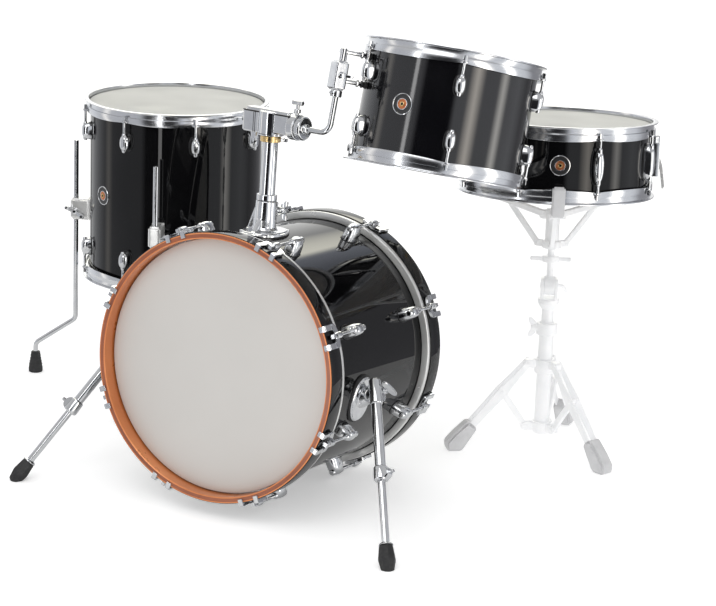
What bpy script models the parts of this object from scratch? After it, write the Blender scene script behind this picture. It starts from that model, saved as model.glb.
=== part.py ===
"""Drum kit: bass drum with a rack tom on its mount, floor tom on three legs, snare drum on a stand.

Metres, +Z up. The kit stands on z = 0, the bass drum's front looks along -Y and the drummer sits at +Y.
The origin is the middle of the kit's footprint. Every piece is a mesh object under an empty; an empty
whose name starts with "axis_" lies on a joint's axis.
"""
from math import atan2, cos, hypot, pi, radians, sin, sqrt, tau

import bmesh
import bpy
from mathutils import Euler, Matrix, Vector

# Clearances
GAP = 0.0003
SLIDE_GAP = 0.0004

# Bass drum
BASS_RADIUS = 0.2285
BASS_DEPTH = 0.356
BASS_WALL = 0.007
BASS_TILT = radians(4.3)
BASS_HOOP_OUT = 0.016
BASS_HOOP_RADIUS = BASS_RADIUS + BASS_HOOP_OUT
BASS_HOOP_WALL = 0.012
BASS_HOOP_WIDTH = 0.038
BASS_FLESH_WIDTH = 0.010
BASS_LUGS = 8
BASS_LUG_LENGTH = 0.042
BASS_LUG_HEIGHT = 0.031
BASS_LUG_PLACE = 0.105
BASS_ROD_RISE = 0.024
BASS_ROD_RADIUS = 0.0036
BASS_SIDES = 32
BASS_START = tau / BASS_LUGS / 2 + pi / BASS_SIDES

# Head and metal hoop sizes shared by the three smaller drums
HEAD_FILM = 0.0012
HEAD_COLLAR = 0.0022
FLESH_OUT = 0.0068
FLESH_TOP = 0.007
FLESH_HEIGHT = 0.006
HOOP_SHEET = 0.0023
HOOP_RISE = 0.009
HOOP_LIP = 0.0137
HOOP_WALL_IN = 0.0035
SKIRT_AT_EAR = 0.0145
SCALLOP = 0.004
EAR_REACH = 0.017
EAR_WIDTH = 0.015
ROD_RISE = 0.0125
ROD_RADIUS = 0.0026
ROD_HEAD = 0.0066
LUG_WIDTH = 0.021
LUG_HEIGHT = 0.0195
LUG_SINK = 0.003
LUG_DRAFT = 0.22
BADGE_RADIUS = 0.0195
BADGE_THICKNESS = 0.0012
SHELL_WALL = 0.006

# Rack tom
TOM_RADIUS = 0.1524
TOM_DEPTH = 0.203
TOM_LUGS = 5
TOM_SIDES = 25
TOM_LUG_LENGTH = 0.037
TOM_LUG_INSET = 0.053
TOM_BADGE_TURN = radians(36)

# Floor tom
FLOOR_RADIUS = 0.1778
FLOOR_DEPTH = 0.356
FLOOR_PLACE = (-0.505, 0.434)
FLOOR_TOP = 0.611
FLOOR_LUGS = 8
FLOOR_SIDES = 24
FLOOR_LUG_INSET = 0.056
FLOOR_LEG_TURNS = [radians(a) for a in (-157.5, -67.5, 67.5)]
FLOOR_LEG_TWISTS = [radians(a) for a in (0, -30, 0)]
FLOOR_BADGE_TURN = radians(-112.5)
LEG_RADIUS = 0.0052
LEG_STANDOFF = 0.034
LEG_TOP = 0.511
LEG_BEND = 0.124
LEG_LOWER_BEND = 0.064
LEG_SPLAY = 0.087
LEG_ARC = 0.018
BRACKET_HEIGHT = 0.365
BRACKET_SIZE = 0.026
FOOT_HEIGHT = 0.045
FOOT_RADIUS = 0.0155
FOOT_SOCKET = 0.012

# Snare drum
SNARE_RADIUS = 0.1778
SNARE_DEPTH = 0.127
SNARE_LUGS = 8
SNARE_LUG_LENGTH = 0.070
SNARE_STRANDS = 8
SNARE_WIRE_LENGTH = 0.300
SNARE_WIRE_WIDTH = 0.044
STRAINER_TURN = radians(-90)

# Spurs
SPUR_PLACE = 0.066
SPUR_DROP = 0.038
SPUR_SPLAY = radians(26.3)
SPUR_FORWARD = radians(27.6)
SPUR_STANDOFF = 0.036
SPUR_OFFSET = 0.019
SPUR_TUBE_RADIUS = 0.0095
SPUR_TUBE_WALL = 0.0022
SPUR_TUBE_ABOVE = 0.016
SPUR_TUBE_LENGTH = 0.170
SPUR_CLAMP_RADIUS = 0.0135
SPUR_ROD_TOP = -0.110
SPUR_SCREW_RADIUS = 0.0034
SPUR_TIP_LENGTH = 0.044
SPUR_TIP_RADIUS = 0.0165

# Tom mount
MOUNT_PLACE = 0.056
MOUNT_PLATE = (0.078, 0.104)
MOUNT_PLATE_RISE = 0.006
POST_RADIUS = 0.0143
POST_WALL = 0.002
POST_BELOW = 0.085
RECEIVER_RADIUS = 0.0205
RECEIVER_TOP = 0.060
ARM_HEIGHT = 0.200
HOLDER_TURN = radians(-9.5)
HOLDER_HALF = 0.022
HOLDER_LEFT = 0.058
HOLDER_RIGHT = 0.054
T_BOLT_PLACE = 0.058
ARM_TILT = radians(-10.0)
ARM_RADIUS = 0.0055
ARM_REACH = 0.133
ARM_RISE = 0.152
ARM_ARC = 0.018
RATCHET_PLACE = 0.0665
RATCHET_RADIUS = 0.0215
TOM_HANG = 0.103
TOM_STANDOFF = 0.0607
TOM_SIDE = radians(60)
TOM_TOP_RISE = 0.183

# Snare stand
STAND_PLACE = (0.334, 0.486)
STAND_TURN = radians(-22)
STAND_TUBE_RADIUS = 0.0143
STAND_TUBE_WALL = 0.0022
STAND_TUBE_LOW = 0.034
COLLAR_RADIUS = 0.0205
LEG_PIVOT = (0.034, 0.178)
BRACE_PIVOT = (0.034, 0.048)
STAND_FOOT = (0.176, 0.0122)
BRACE_SHARE = 0.35
LEG_BAR = 0.003
LEG_BAR_GAP = 0.016
BRACE_WIDTH = 0.008
BOOT_WIDTH = 0.032
TILTER_HEIGHT = 0.335
STAND_CLAMP_TOP = TILTER_HEIGHT - 0.073
HEIGHT_TUBE_LOW = 0.120
TILTER_RADIUS = 0.019
BASKET_AZIMUTH = radians(116.5)
BASKET_TILT = radians(4.4)
BASKET_NECK = 0.0065
BASKET_NUT = 0.052
BASKET_BLOCK = (0.072, 0.150)
BASKET_BLOCK_RADIUS = 0.0135
BASKET_ARM_HALF = 0.006
BASKET_LINK_HALF = 0.004
BASKET_LINK_REACH = 0.078
LINK_FOOT = 0.0258
BASKET_SEAT = 0.185
BASKET_TURNS = [radians(a) for a in (180, -60, 60)]
ARM_PIVOT = (0.020, 0.138)
GRIP_WIDTH = 0.024

# Finishes: colour, roughness, metallic
FINISHES = {
    "black_lacquer": ((0.006, 0.006, 0.008), 0.12, 0.0),
    "chrome": ((0.78, 0.79, 0.80), 0.08, 1.0),
    "satin_metal": ((0.82, 0.82, 0.82), 0.35, 0.6),
    "black_rubber": ((0.015, 0.015, 0.016), 0.70, 0.0),
    "front_film": ((0.68, 0.66, 0.62), 0.45, 0.0),
    "coated_film": ((0.74, 0.74, 0.70), 0.60, 0.0),
    "clear_film": ((0.62, 0.62, 0.60), 0.30, 0.0),
    "steel_wire": ((0.60, 0.60, 0.60), 0.35, 1.0),
}

TURN_OVER = Euler((pi, 0, 0))


def clear_scene():
    for old in list(bpy.data.objects):
        bpy.data.objects.remove(old, do_unlink=True)


def finish(name):
    """The material of one finish, made on its first use."""
    known = bpy.data.materials.get(name)
    if known:
        return known
    colour, roughness, metallic = FINISHES[name]
    made = bpy.data.materials.new(name)
    made.use_nodes = True
    shader = made.node_tree.nodes["Principled BSDF"]
    shader.inputs["Base Color"].default_value = (*colour, 1.0)
    shader.inputs["Roughness"].default_value = roughness
    shader.inputs["Metallic"].default_value = metallic
    made.diffuse_color = (*colour, 1.0)
    return made


def empty(name, parent, place=(0, 0, 0), turn=None):
    """An empty at a place and turn in its parent's frame."""
    made = bpy.data.objects.new(name, None)
    made.empty_display_size = 0.05
    bpy.context.scene.collection.objects.link(made)
    made.parent = parent
    made.location = place
    made.rotation_euler = turn or Euler((0, 0, 0))
    return made


def mesh_object(name, shape, parent, finish_name, turn=None):
    mesh = bpy.data.meshes.new(name)
    shape.to_mesh(mesh)
    shape.free()
    mesh.materials.append(finish(finish_name))
    mesh.shade_smooth()
    mesh.set_sharp_from_angle(angle=radians(32))
    made = bpy.data.objects.new(name, mesh)
    bpy.context.scene.collection.objects.link(made)
    made.parent = parent
    made.rotation_euler = turn or Euler((0, 0, 0))
    return made


def boolean(target, shape, operation, label):
    """Adds to the target, or cuts from it, a shape given in the target's own frame."""
    helper = mesh_object(f"{target.name}_{label}", shape, target.parent, "chrome")
    helper.rotation_euler = target.rotation_euler
    helper.hide_render = True
    helper.display_type = "WIRE"
    modifier = target.modifiers.new(label, "BOOLEAN")
    modifier.operation = operation
    modifier.object = helper
    modifier.solver = "EXACT"
    modifier.use_self = operation == "UNION"
    return target


def fuse(target, shape, label="parts"):
    return boolean(target, shape, "UNION", label)


def fused_object(name, shapes, parent, finish_name, turn=None):
    """One object from several overlapping shapes."""
    return fuse(mesh_object(name, shapes[0], parent, finish_name, turn), joined(shapes[1:]))


def cut(target, shape, label="cut"):
    return boolean(target, shape, "DIFFERENCE", label)


# Shapes

def ring_body(outline_at, angles):
    """A body round Z. outline_at(angle) is its closed outline there, as (radius, height) points."""
    shape = bmesh.new()
    rings = []
    for k, (radius, height) in enumerate(outline_at(angles[0])):
        if radius == 0:
            rings.append([shape.verts.new((0, 0, height))] * len(angles))
            continue
        ring = []
        for angle in angles:
            r, z = outline_at(angle)[k]
            ring.append(shape.verts.new((r * cos(angle), r * sin(angle), z)))
        rings.append(ring)
    for low, high in zip(rings, rings[1:] + rings[:1]):
        for i in range(len(angles)):
            j = (i + 1) % len(angles)
            corners = list(dict.fromkeys((low[i], low[j], high[j], high[i])))
            if len(corners) > 2:
                shape.faces.new(corners)
    bmesh.ops.recalc_face_normals(shape, faces=shape.faces)
    return shape


def lathe(outline, sides, start=0.0):
    return ring_body(lambda angle: outline, [start + tau * i / sides for i in range(sides)])


def cylinder(radius, low, high, sides=12, start=0.0):
    return lathe([(0, low), (radius, low), (radius, high), (0, high)], sides, start)


def tube(outer, inner, low, high, sides=12, start=0.0):
    return lathe([(inner, low), (outer, low), (outer, high), (inner, high)], sides, start)


def prism(outline, low, high):
    """A body with a straight side on each edge of an outline of (x, y) points, between two heights."""
    shape = bmesh.new()
    floor = [shape.verts.new((x, y, low)) for x, y in outline]
    roof = [shape.verts.new((x, y, high)) for x, y in outline]
    shape.faces.new(floor)
    shape.faces.new(roof)
    for i in range(len(outline)):
        j = (i + 1) % len(outline)
        shape.faces.new((floor[i], floor[j], roof[j], roof[i]))
    bmesh.ops.recalc_face_normals(shape, faces=shape.faces)
    return shape


def slab(outline, half):
    """A prism with its outline in the X-Z plane, half its thickness each side of Y = 0."""
    return turned(prism([(x, -z) for x, z in outline], -half, half), Matrix.Rotation(-pi / 2, 4, "X"))


def box(low, high, bevel=0.0):
    (x0, y0, z0), (x1, y1, z1) = low, high
    shape = prism([(x0, y0), (x1, y0), (x1, y1), (x0, y1)], z0, z1)
    if bevel:
        bmesh.ops.bevel(shape, geom=shape.edges[:], offset=bevel, segments=1, affect="EDGES")
    return shape


def bar(points, radius, sides=8):
    """A round bar through the points, square-ended, with its sides carried round without twist."""
    points = [Vector(p) for p in points]
    ways = [(b - a).normalized() for a, b in zip(points, points[1:])]
    shape = bmesh.new()
    across = ways[0].orthogonal().normalized()
    rings = []
    for i, point in enumerate(points):
        before = ways[max(i - 1, 0)]
        after = ways[min(i, len(ways) - 1)]
        way = (before + after).normalized()
        stretch = 1 / max(way.dot(after), 0.5)
        across = (across - way * across.dot(way)).normalized()
        side = way.cross(across)
        bend = (after - before)
        ring = []
        for k in range(sides):
            spoke = across * cos(tau * k / sides) + side * sin(tau * k / sides)
            if bend.length > 1e-6:
                inward = bend.normalized()
                spoke += inward * spoke.dot(inward) * (stretch - 1)
            ring.append(shape.verts.new(point + spoke * radius))
        rings.append(ring)
    for low, high in zip(rings, rings[1:]):
        for k in range(sides):
            j = (k + 1) % sides
            shape.faces.new((low[k], low[j], high[j], high[k]))
    shape.faces.new(rings[0])
    shape.faces.new(rings[-1])
    bmesh.ops.recalc_face_normals(shape, faces=shape.faces)
    return shape


def rounded(corners, radius, steps=3):
    """The corners' path with each inner corner turned on an arc."""
    corners = [Vector(c) for c in corners]
    path = [corners[0]]
    for before, corner, after in zip(corners, corners[1:], corners[2:]):
        into = (corner - before).normalized()
        out = (after - corner).normalized()
        turn = into.angle(out)
        reach = radius * sin(turn / 2) / cos(turn / 2)
        start = corner - into * reach
        inward = (out - into * out.dot(into)).normalized()
        for i in range(steps + 1):
            swept = turn * i / steps
            path.append(start + into * radius * sin(swept) + inward * radius * (1 - cos(swept)))
    path.append(corners[-1])
    return path


def oval(half_width, half_length, sides=12):
    return [(half_width * cos(tau * i / sides), half_length * sin(tau * i / sides)) for i in range(sides)]


def turned(shape, matrix):
    shape.transform(matrix)
    if matrix.determinant() < 0:
        bmesh.ops.reverse_faces(shape, faces=shape.faces)
    return shape


def shifted(shape, x=0.0, y=0.0, z=0.0):
    return turned(shape, Matrix.Translation((x, y, z)))


def along_x(shape):
    """Turns a shape made along Z so that it lies along +X."""
    return turned(shape, Matrix.Rotation(pi / 2, 4, "Y"))


def along_y(shape):
    """Turns a shape made along Z so that it lies along +Y."""
    return turned(shape, Matrix.Rotation(-pi / 2, 4, "X"))


def joined(shapes):
    """One shape that holds several, each still its own closed body."""
    whole = bmesh.new()
    for shape in shapes:
        carrier = bpy.data.meshes.new("carrier")
        shape.to_mesh(carrier)
        shape.free()
        whole.from_mesh(carrier)
        bpy.data.meshes.remove(carrier)
    return whole


def round_z(make, angles):
    """One copy of the made shape at each angle round Z."""
    return joined([turned(make(), Matrix.Rotation(angle, 4, "Z")) for angle in angles])


# Pieces shared by the drums

def lug(length, width, height):
    """A bullet lug on the plane x = 0: long along Z, domed towards +X."""
    shape = bmesh.new()
    corners = [(0.5, -0.28), (0.5, 0.28), (0, 0.5), (-0.5, 0.28), (-0.5, -0.28), (0, -0.5)]
    rings = []
    for x, share in ((-LUG_SINK, 1.0), (height, 1.0 - LUG_DRAFT)):
        rings.append([shape.verts.new((x, y * width * share, z * length * share)) for y, z in corners])
    for low, high in zip(rings, rings[1:]):
        for i in range(6):
            j = (i + 1) % 6
            shape.faces.new((low[i], low[j], high[j], high[i]))
    shape.faces.new(rings[0])
    shape.faces.new(rings[-1])
    bmesh.ops.recalc_face_normals(shape, faces=shape.faces)
    return shape


def lug_reach(length, height, rise):
    """How far a lug's end lies from its middle, at a height over the shell."""
    return length / 2 * (1 - LUG_DRAFT * (rise + LUG_SINK) / (height + LUG_SINK)) + GAP


def badge():
    return along_x(cylinder(BADGE_RADIUS, -LUG_SINK, BADGE_THICKNESS, 12))


def half_step(sides):
    """Half a side's angle: a polygon that starts there has a flat, not an edge, at angle zero."""
    return pi / sides


def lug_angles(count, first):
    return [first + tau * i / count for i in range(count)]


def head(name, parent, radius, depth, sides, start, finish_name, turn=None):
    """A drum head: film over the shell's edge, down its side to the flesh hoop."""
    edge = depth / 2
    flesh = edge - FLESH_TOP
    outline = [
        (0, edge + GAP + HEAD_FILM),
        (radius + HEAD_COLLAR, edge + GAP + HEAD_FILM),
        (radius + HEAD_COLLAR, flesh),
        (radius + FLESH_OUT, flesh),
        (radius + FLESH_OUT, flesh - FLESH_HEIGHT),
        (radius + GAP, flesh - FLESH_HEIGHT),
        (radius + GAP, edge + GAP),
        (0, edge + GAP),
    ]
    return mesh_object(name, lathe(outline, sides, start), parent, finish_name, turn)


def metal_hoop(name, parent, radius, depth, sides, angles, lug_end, turn=None):
    """A triple-flanged hoop with ears, and the key rods that run from its ears to the lugs."""
    edge = depth / 2
    count = len(angles)
    inner = radius + HOOP_WALL_IN
    over_flesh = radius + FLESH_OUT + GAP
    skirt = over_flesh + HOOP_SHEET
    shelf = -FLESH_TOP + GAP

    def outline_at(angle):
        swing = abs(sin(count * (angle - angles[0]) / 2))
        low = -SKIRT_AT_EAR - SCALLOP * swing
        points = [
            (inner, HOOP_RISE),
            (radius + HOOP_LIP, HOOP_RISE),
            (radius + HOOP_LIP, HOOP_RISE - HOOP_SHEET),
            (inner + HOOP_SHEET, shelf + HOOP_SHEET),
            (skirt, shelf + HOOP_SHEET),
            (skirt, low),
            (over_flesh, low),
            (over_flesh, shelf),
            (inner, shelf),
        ]
        return [(r, edge + z) for r, z in points]

    start = angles[0] + half_step(sides)
    hoop = ring_body(outline_at, [start + tau * i / sides for i in range(sides)])
    made = mesh_object(name, hoop, parent, "chrome", turn)

    def key_rod():
        ear = box(
            (skirt * cos(half_step(sides)) - 0.0015, -EAR_WIDTH / 2, edge - SKIRT_AT_EAR),
            (radius + EAR_REACH, EAR_WIDTH / 2, edge - SKIRT_AT_EAR + HOOP_SHEET),
        )
        rod = shifted(cylinder(ROD_RADIUS, lug_end, edge - SKIRT_AT_EAR + 0.004, 4, pi / 4), radius + ROD_RISE)
        half = ROD_HEAD / 2
        top = box(
            (radius + ROD_RISE - half, -half, edge - SKIRT_AT_EAR + 0.001),
            (radius + ROD_RISE + half, half, edge - 0.001),
        )
        return joined([ear, rod, top])

    return fuse(made, round_z(key_rod, angles), "rods")


def wing_screw(stem, start, reach, span):
    """A wing screw along +Z: stem from the start height, hub at the reach, and two wings."""
    half = span / 2
    shank = cylinder(stem, start, reach, 6)
    hub = cylinder(stem * 1.9, reach - 0.004, reach + 0.009, 6)
    wings = slab([(-half, reach + 0.014), (-half * 0.4, reach), (half * 0.4, reach), (half, reach + 0.014),
                  (0, reach + 0.006)], 0.002)
    return shank, hub, wings


# Bass drum

def bass_drum(kit):
    """The bass drum's frame has Z along its axis to the front, and Y up."""
    edge = BASS_DEPTH / 2
    hoop_back = edge - BASS_FLESH_WIDTH + GAP
    hoop_front = hoop_back + BASS_HOOP_WIDTH
    rest_edge = hoop_front - 0.002
    middle = BASS_HOOP_RADIUS * cos(BASS_TILT) + rest_edge * sin(BASS_TILT)
    frame = empty("bass_drum", kit, (0, 0, middle), Euler((pi / 2 - BASS_TILT, 0, 0)))
    angles = lug_angles(BASS_LUGS, tau / BASS_LUGS / 2)

    shell = mesh_object(
        "bass_shell",
        tube(BASS_RADIUS, BASS_RADIUS - BASS_WALL, -edge, edge, BASS_SIDES, BASS_START),
        frame,
        "black_lacquer",
    )

    def lug_pair():
        pair = []
        for place in (-BASS_LUG_PLACE, BASS_LUG_PLACE):
            pair.append(shifted(lug(BASS_LUG_LENGTH, LUG_WIDTH, BASS_LUG_HEIGHT), BASS_RADIUS, 0, place))
        return joined(pair)

    fuse(shell, round_z(lug_pair, angles), "lugs")
    hole = shifted(along_y(cylinder(POST_RADIUS + 0.002, 0, BASS_RADIUS + 0.02, 12)), z=MOUNT_PLACE)
    cut(shell, hole, "post_hole")

    flesh_front = hoop_back - GAP
    flesh_out = BASS_HOOP_RADIUS - 0.004
    film_out = BASS_HOOP_RADIUS - BASS_HOOP_WALL - 0.002
    film = edge + GAP
    outline = [
        (0, film + HEAD_FILM),
        (film_out, film + HEAD_FILM),
        (film_out, flesh_front),
        (flesh_out, flesh_front),
        (flesh_out, flesh_front - BASS_FLESH_WIDTH),
        (BASS_RADIUS + GAP, flesh_front - BASS_FLESH_WIDTH),
        (BASS_RADIUS + GAP, film),
        (0, film),
    ]
    for name, turn, finish_name in (
        ("bass_front_head", None, "front_film"),
        ("bass_rear_head", TURN_OVER, "coated_film"),
    ):
        mesh_object(name, lathe(outline, BASS_SIDES, BASS_START), frame, finish_name, turn)

    inner = BASS_HOOP_RADIUS - BASS_HOOP_WALL
    outline = [
        (inner, hoop_back),
        (BASS_HOOP_RADIUS, hoop_back),
        (BASS_HOOP_RADIUS, rest_edge),
        (BASS_HOOP_RADIUS - 0.002, hoop_front),
        (inner, hoop_front),
    ]
    lug_end = BASS_LUG_PLACE + lug_reach(BASS_LUG_LENGTH, BASS_LUG_HEIGHT, BASS_ROD_RISE - BASS_ROD_RADIUS)
    for name, turn in (("bass_front_hoop", None), ("bass_rear_hoop", TURN_OVER)):
        hoop = mesh_object(name, lathe(outline, BASS_SIDES, BASS_START), frame, "black_lacquer", turn)
        fuse(hoop, round_z(lambda: claw(hoop_back, hoop_front, lug_end), angles), "claws")
    return frame


def claw(hoop_back, hoop_front, lug_end):
    """A two-pronged claw over the hoop's edge, with the key rod that pulls it to its lug."""
    outside = BASS_HOOP_RADIUS + GAP
    axis = BASS_RADIUS + BASS_ROD_RISE
    front = hoop_front - 0.0004
    prong = [
        (outside, hoop_back + 0.014),
        (outside, front),
        (outside - 0.008, front),
        (outside - 0.008, front + 0.0028),
        (outside + 0.0062, front + 0.0028),
        (outside + 0.0062, hoop_back + 0.014),
    ]
    pieces = []
    for side in (-1, 1):
        pieces.append(shifted(slab(prong, 0.0027), y=side * 0.0066))
    body_front = hoop_back + 0.017
    pieces.append(box((outside - 0.0006, -0.0094, hoop_back), (axis + 0.006, 0.0094, body_front)))
    pieces.append(shifted(cylinder(BASS_ROD_RADIUS, lug_end, body_front + 0.011, 4, pi / 4), axis))
    return joined(pieces)


def shell_cutter():
    """The bass shell's outside with its gap, for seating a casting on it."""
    return cylinder(BASS_RADIUS + GAP, -BASS_DEPTH, BASS_DEPTH, BASS_SIDES, BASS_START)


# Spurs

def spur(bass, side, label):
    """A folding spur. side is 1 on the bass drum's +X side and -1 on the other."""
    base_x = sqrt(BASS_RADIUS ** 2 - SPUR_DROP ** 2)
    pivot = Vector((base_x + cos(SPUR_SPLAY) * SPUR_STANDOFF, -SPUR_DROP + sin(SPUR_SPLAY) * SPUR_STANDOFF))
    splay = SPUR_SPLAY if side > 0 else pi - SPUR_SPLAY
    seat = atan2(-SPUR_DROP, base_x)
    seat = seat if side > 0 else pi - seat

    plate = prism(oval(0.024, 0.036), BASS_RADIUS - 0.008, BASS_RADIUS + 0.006)
    plate = turned(plate, Matrix.Rotation(pi / 2, 4, "Y"))
    plate = turned(plate, Matrix.Translation((0, 0, SPUR_PLACE)) @ Matrix.Rotation(seat, 4, "Z"))
    bracket = mesh_object(f"spur_bracket_{label}", plate, bass, "chrome")
    boss = along_x(cylinder(0.0175, -SPUR_STANDOFF - 0.002, -GAP, 12))
    place = Matrix.Translation((side * pivot.x, pivot.y, SPUR_PLACE)) @ Matrix.Rotation(splay, 4, "Z")
    fuse(bracket, turned(boss, place), "boss")
    cut(bracket, shell_cutter(), "seat")

    hinge = empty(f"axis_spur_{label}", bass, (side * pivot.x, pivot.y, SPUR_PLACE), Euler((0, 0, splay)))
    leg = empty(f"spur_leg_{label}", hinge, turn=Euler((-side * (pi / 2 + SPUR_FORWARD), 0, 0)))
    offset = -side * SPUR_OFFSET
    away = SPUR_TUBE_RADIUS + 0.002

    bore = SPUR_TUBE_RADIUS - SPUR_TUBE_WALL
    low = -SPUR_TUBE_LENGTH
    sleeve = shifted(cylinder(SPUR_TUBE_RADIUS, low, SPUR_TUBE_ABOVE, 10), away, offset)
    outer = mesh_object(f"spur_tube_{label}", sleeve, leg, "chrome")
    clamp = shifted(cylinder(SPUR_CLAMP_RADIUS, low - 0.006, low + 0.014, 10), away, offset)
    clamp_bolt = box((-0.0035, -0.0035, 0), (0.0035, 0.0035, 0.008))
    clamp_bolt = turned(clamp_bolt, Matrix.Rotation(side * pi / 2, 4, "X"))
    clamp_bolt = shifted(clamp_bolt, away, offset - side * (SPUR_CLAMP_RADIUS - 0.002), low + 0.004)
    hub = along_x(cylinder(0.019, 0, 0.0085, 12))
    web = box((0.0005, min(offset, 0), -0.0125), (0.0080, max(offset, 0), 0.0125))
    fuse(outer, joined([hub, web, clamp, clamp_bolt]), "hub")
    cut(outer, shifted(cylinder(bore, low - 0.02, SPUR_TUBE_ABOVE - 0.003, 10), away, offset), "bore")
    cut(outer, along_x(cylinder(SPUR_SCREW_RADIUS + 0.0009, -0.001, 0.0095, 8)), "screw_hole")

    screw = empty(f"axis_spur_screw_{label}", hinge)
    pieces = [along_x(piece) for piece in wing_screw(SPUR_SCREW_RADIUS, 0, 0.0225, 0.040)]
    turn = Euler((-side * (pi / 2 + SPUR_FORWARD) + side * radians(70), 0, 0))
    fused_object(f"spur_wing_screw_{label}", pieces, screw, "chrome", turn)

    bpy.context.view_layer.update()
    drop = leg.matrix_world.to_3x3() @ Vector((0, 0, -1))
    start = leg.matrix_world @ Vector((away, offset, 0))
    reach = start.z / -drop.z
    slide = empty(f"axis_spur_rod_{label}", leg, (away, offset, 0))
    tip_top = -reach + SPUR_TIP_LENGTH
    rod_radius = bore - SLIDE_GAP
    rod = [
        (0, tip_top - FOOT_SOCKET + GAP),
        (rod_radius, tip_top - FOOT_SOCKET + GAP),
        (rod_radius, tip_top + GAP),
        (SPUR_TIP_RADIUS * 0.8, tip_top + GAP),
        (SPUR_TIP_RADIUS * 0.7, tip_top + 0.005),
        (rod_radius, tip_top + 0.005),
        (rod_radius, SPUR_ROD_TOP),
        (0, SPUR_ROD_TOP),
    ]
    mesh_object(f"spur_rod_{label}", lathe(rod, 10), slide, "chrome")
    rubber = [
        (bore, tip_top),
        (SPUR_TIP_RADIUS * 0.75, tip_top),
        (SPUR_TIP_RADIUS, tip_top - 0.012),
        (SPUR_TIP_RADIUS * 0.92, -reach + 0.004),
        (0, -reach - 0.012),
        (0, tip_top - FOOT_SOCKET),
        (bore, tip_top - FOOT_SOCKET),
    ]
    foot = mesh_object(f"spur_foot_{label}", lathe(rubber, 10), slide, "black_rubber")
    bpy.context.view_layer.update()
    ground = turned(box((-1, -1, -1), (1, 1, 0)), slide.matrix_world.inverted())
    cut(foot, ground, "ground")


# Tom mount

def tom_mount(bass):
    """The mount's frame stands on the bass shell, with Z along the post."""
    mount = empty("tom_mount", bass, (0, BASS_RADIUS, MOUNT_PLACE), Euler((-pi / 2, 0, 0)))
    half_x, half_y = MOUNT_PLATE[0] / 2, MOUNT_PLATE[1] / 2
    bore = (POST_RADIUS + SLIDE_GAP) / cos(half_step(12))
    plate = mesh_object("tom_base", prism(oval(half_x, half_y, 16), -0.010, MOUNT_PLATE_RISE), mount, "chrome")
    receiver = cylinder(RECEIVER_RADIUS, 0, RECEIVER_TOP, 12)
    ears = box((-0.007, 0.014, 0.026), (0.007, 0.034, 0.056))
    gusset = slab([(-0.036, 0.004), (-0.012, 0.004), (-0.012, 0.048), (-0.020, 0.048)], 0.007)
    front_gusset = turned(slab([(-0.044, 0.004), (-0.012, 0.004), (-0.012, 0.040)], 0.005),
                          Matrix.Rotation(pi / 2, 4, "Z"))
    fuse(plate, joined([receiver, ears, gusset, front_gusset]), "receiver")
    cutter = turned(shell_cutter(), Matrix.Translation((0, 0, -BASS_RADIUS)) @ Matrix.Rotation(pi / 2, 4, "X")
                    @ Matrix.Translation((0, 0, -MOUNT_PLACE)))
    cut(plate, cutter, "seat")
    cut(plate, cylinder(bore, -0.05, RECEIVER_TOP + 0.05, 12), "bore")
    slot = box((-0.0015, 0, 0.022), (0.0015, 0.05, RECEIVER_TOP + 0.01))
    cut(plate, slot, "split")

    bolt_axis = empty("axis_tom_base_bolt", mount, (0.007 + GAP, 0.025, 0.041))
    bolt = [along_x(piece) for piece in wing_screw(0.004, 0, 0.010, 0.036)]
    fused_object("tom_base_wing_bolt", bolt, bolt_axis, "chrome")

    post_axis = empty("axis_tom_post", mount)
    top = ARM_HEIGHT + HOLDER_HALF - 0.008
    ring_low = RECEIVER_TOP + GAP
    bush_top = ARM_HEIGHT - HOLDER_HALF - GAP
    inside = POST_RADIUS - POST_WALL
    ring = POST_RADIUS + 0.0045
    outline = [
        (inside, -POST_BELOW),
        (POST_RADIUS, -POST_BELOW),
        (POST_RADIUS, ring_low),
        (ring, ring_low),
        (ring, ring_low + 0.011),
        (POST_RADIUS, ring_low + 0.011),
        (POST_RADIUS, bush_top - 0.011),
        (ring, bush_top - 0.011),
        (ring, bush_top),
        (POST_RADIUS, bush_top),
        (POST_RADIUS, top),
        (inside, top),
    ]
    post = mesh_object("tom_post", lathe(outline, 12), post_axis, "chrome")
    bush_screw = box((0.012, -0.003, bush_top - 0.0085), (0.032, 0.003, bush_top - 0.0035))
    fuse(post, turned(bush_screw, Matrix.Rotation(half_step(12), 4, "Z")), "bush_screw")
    tom_holder(post_axis)


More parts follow.
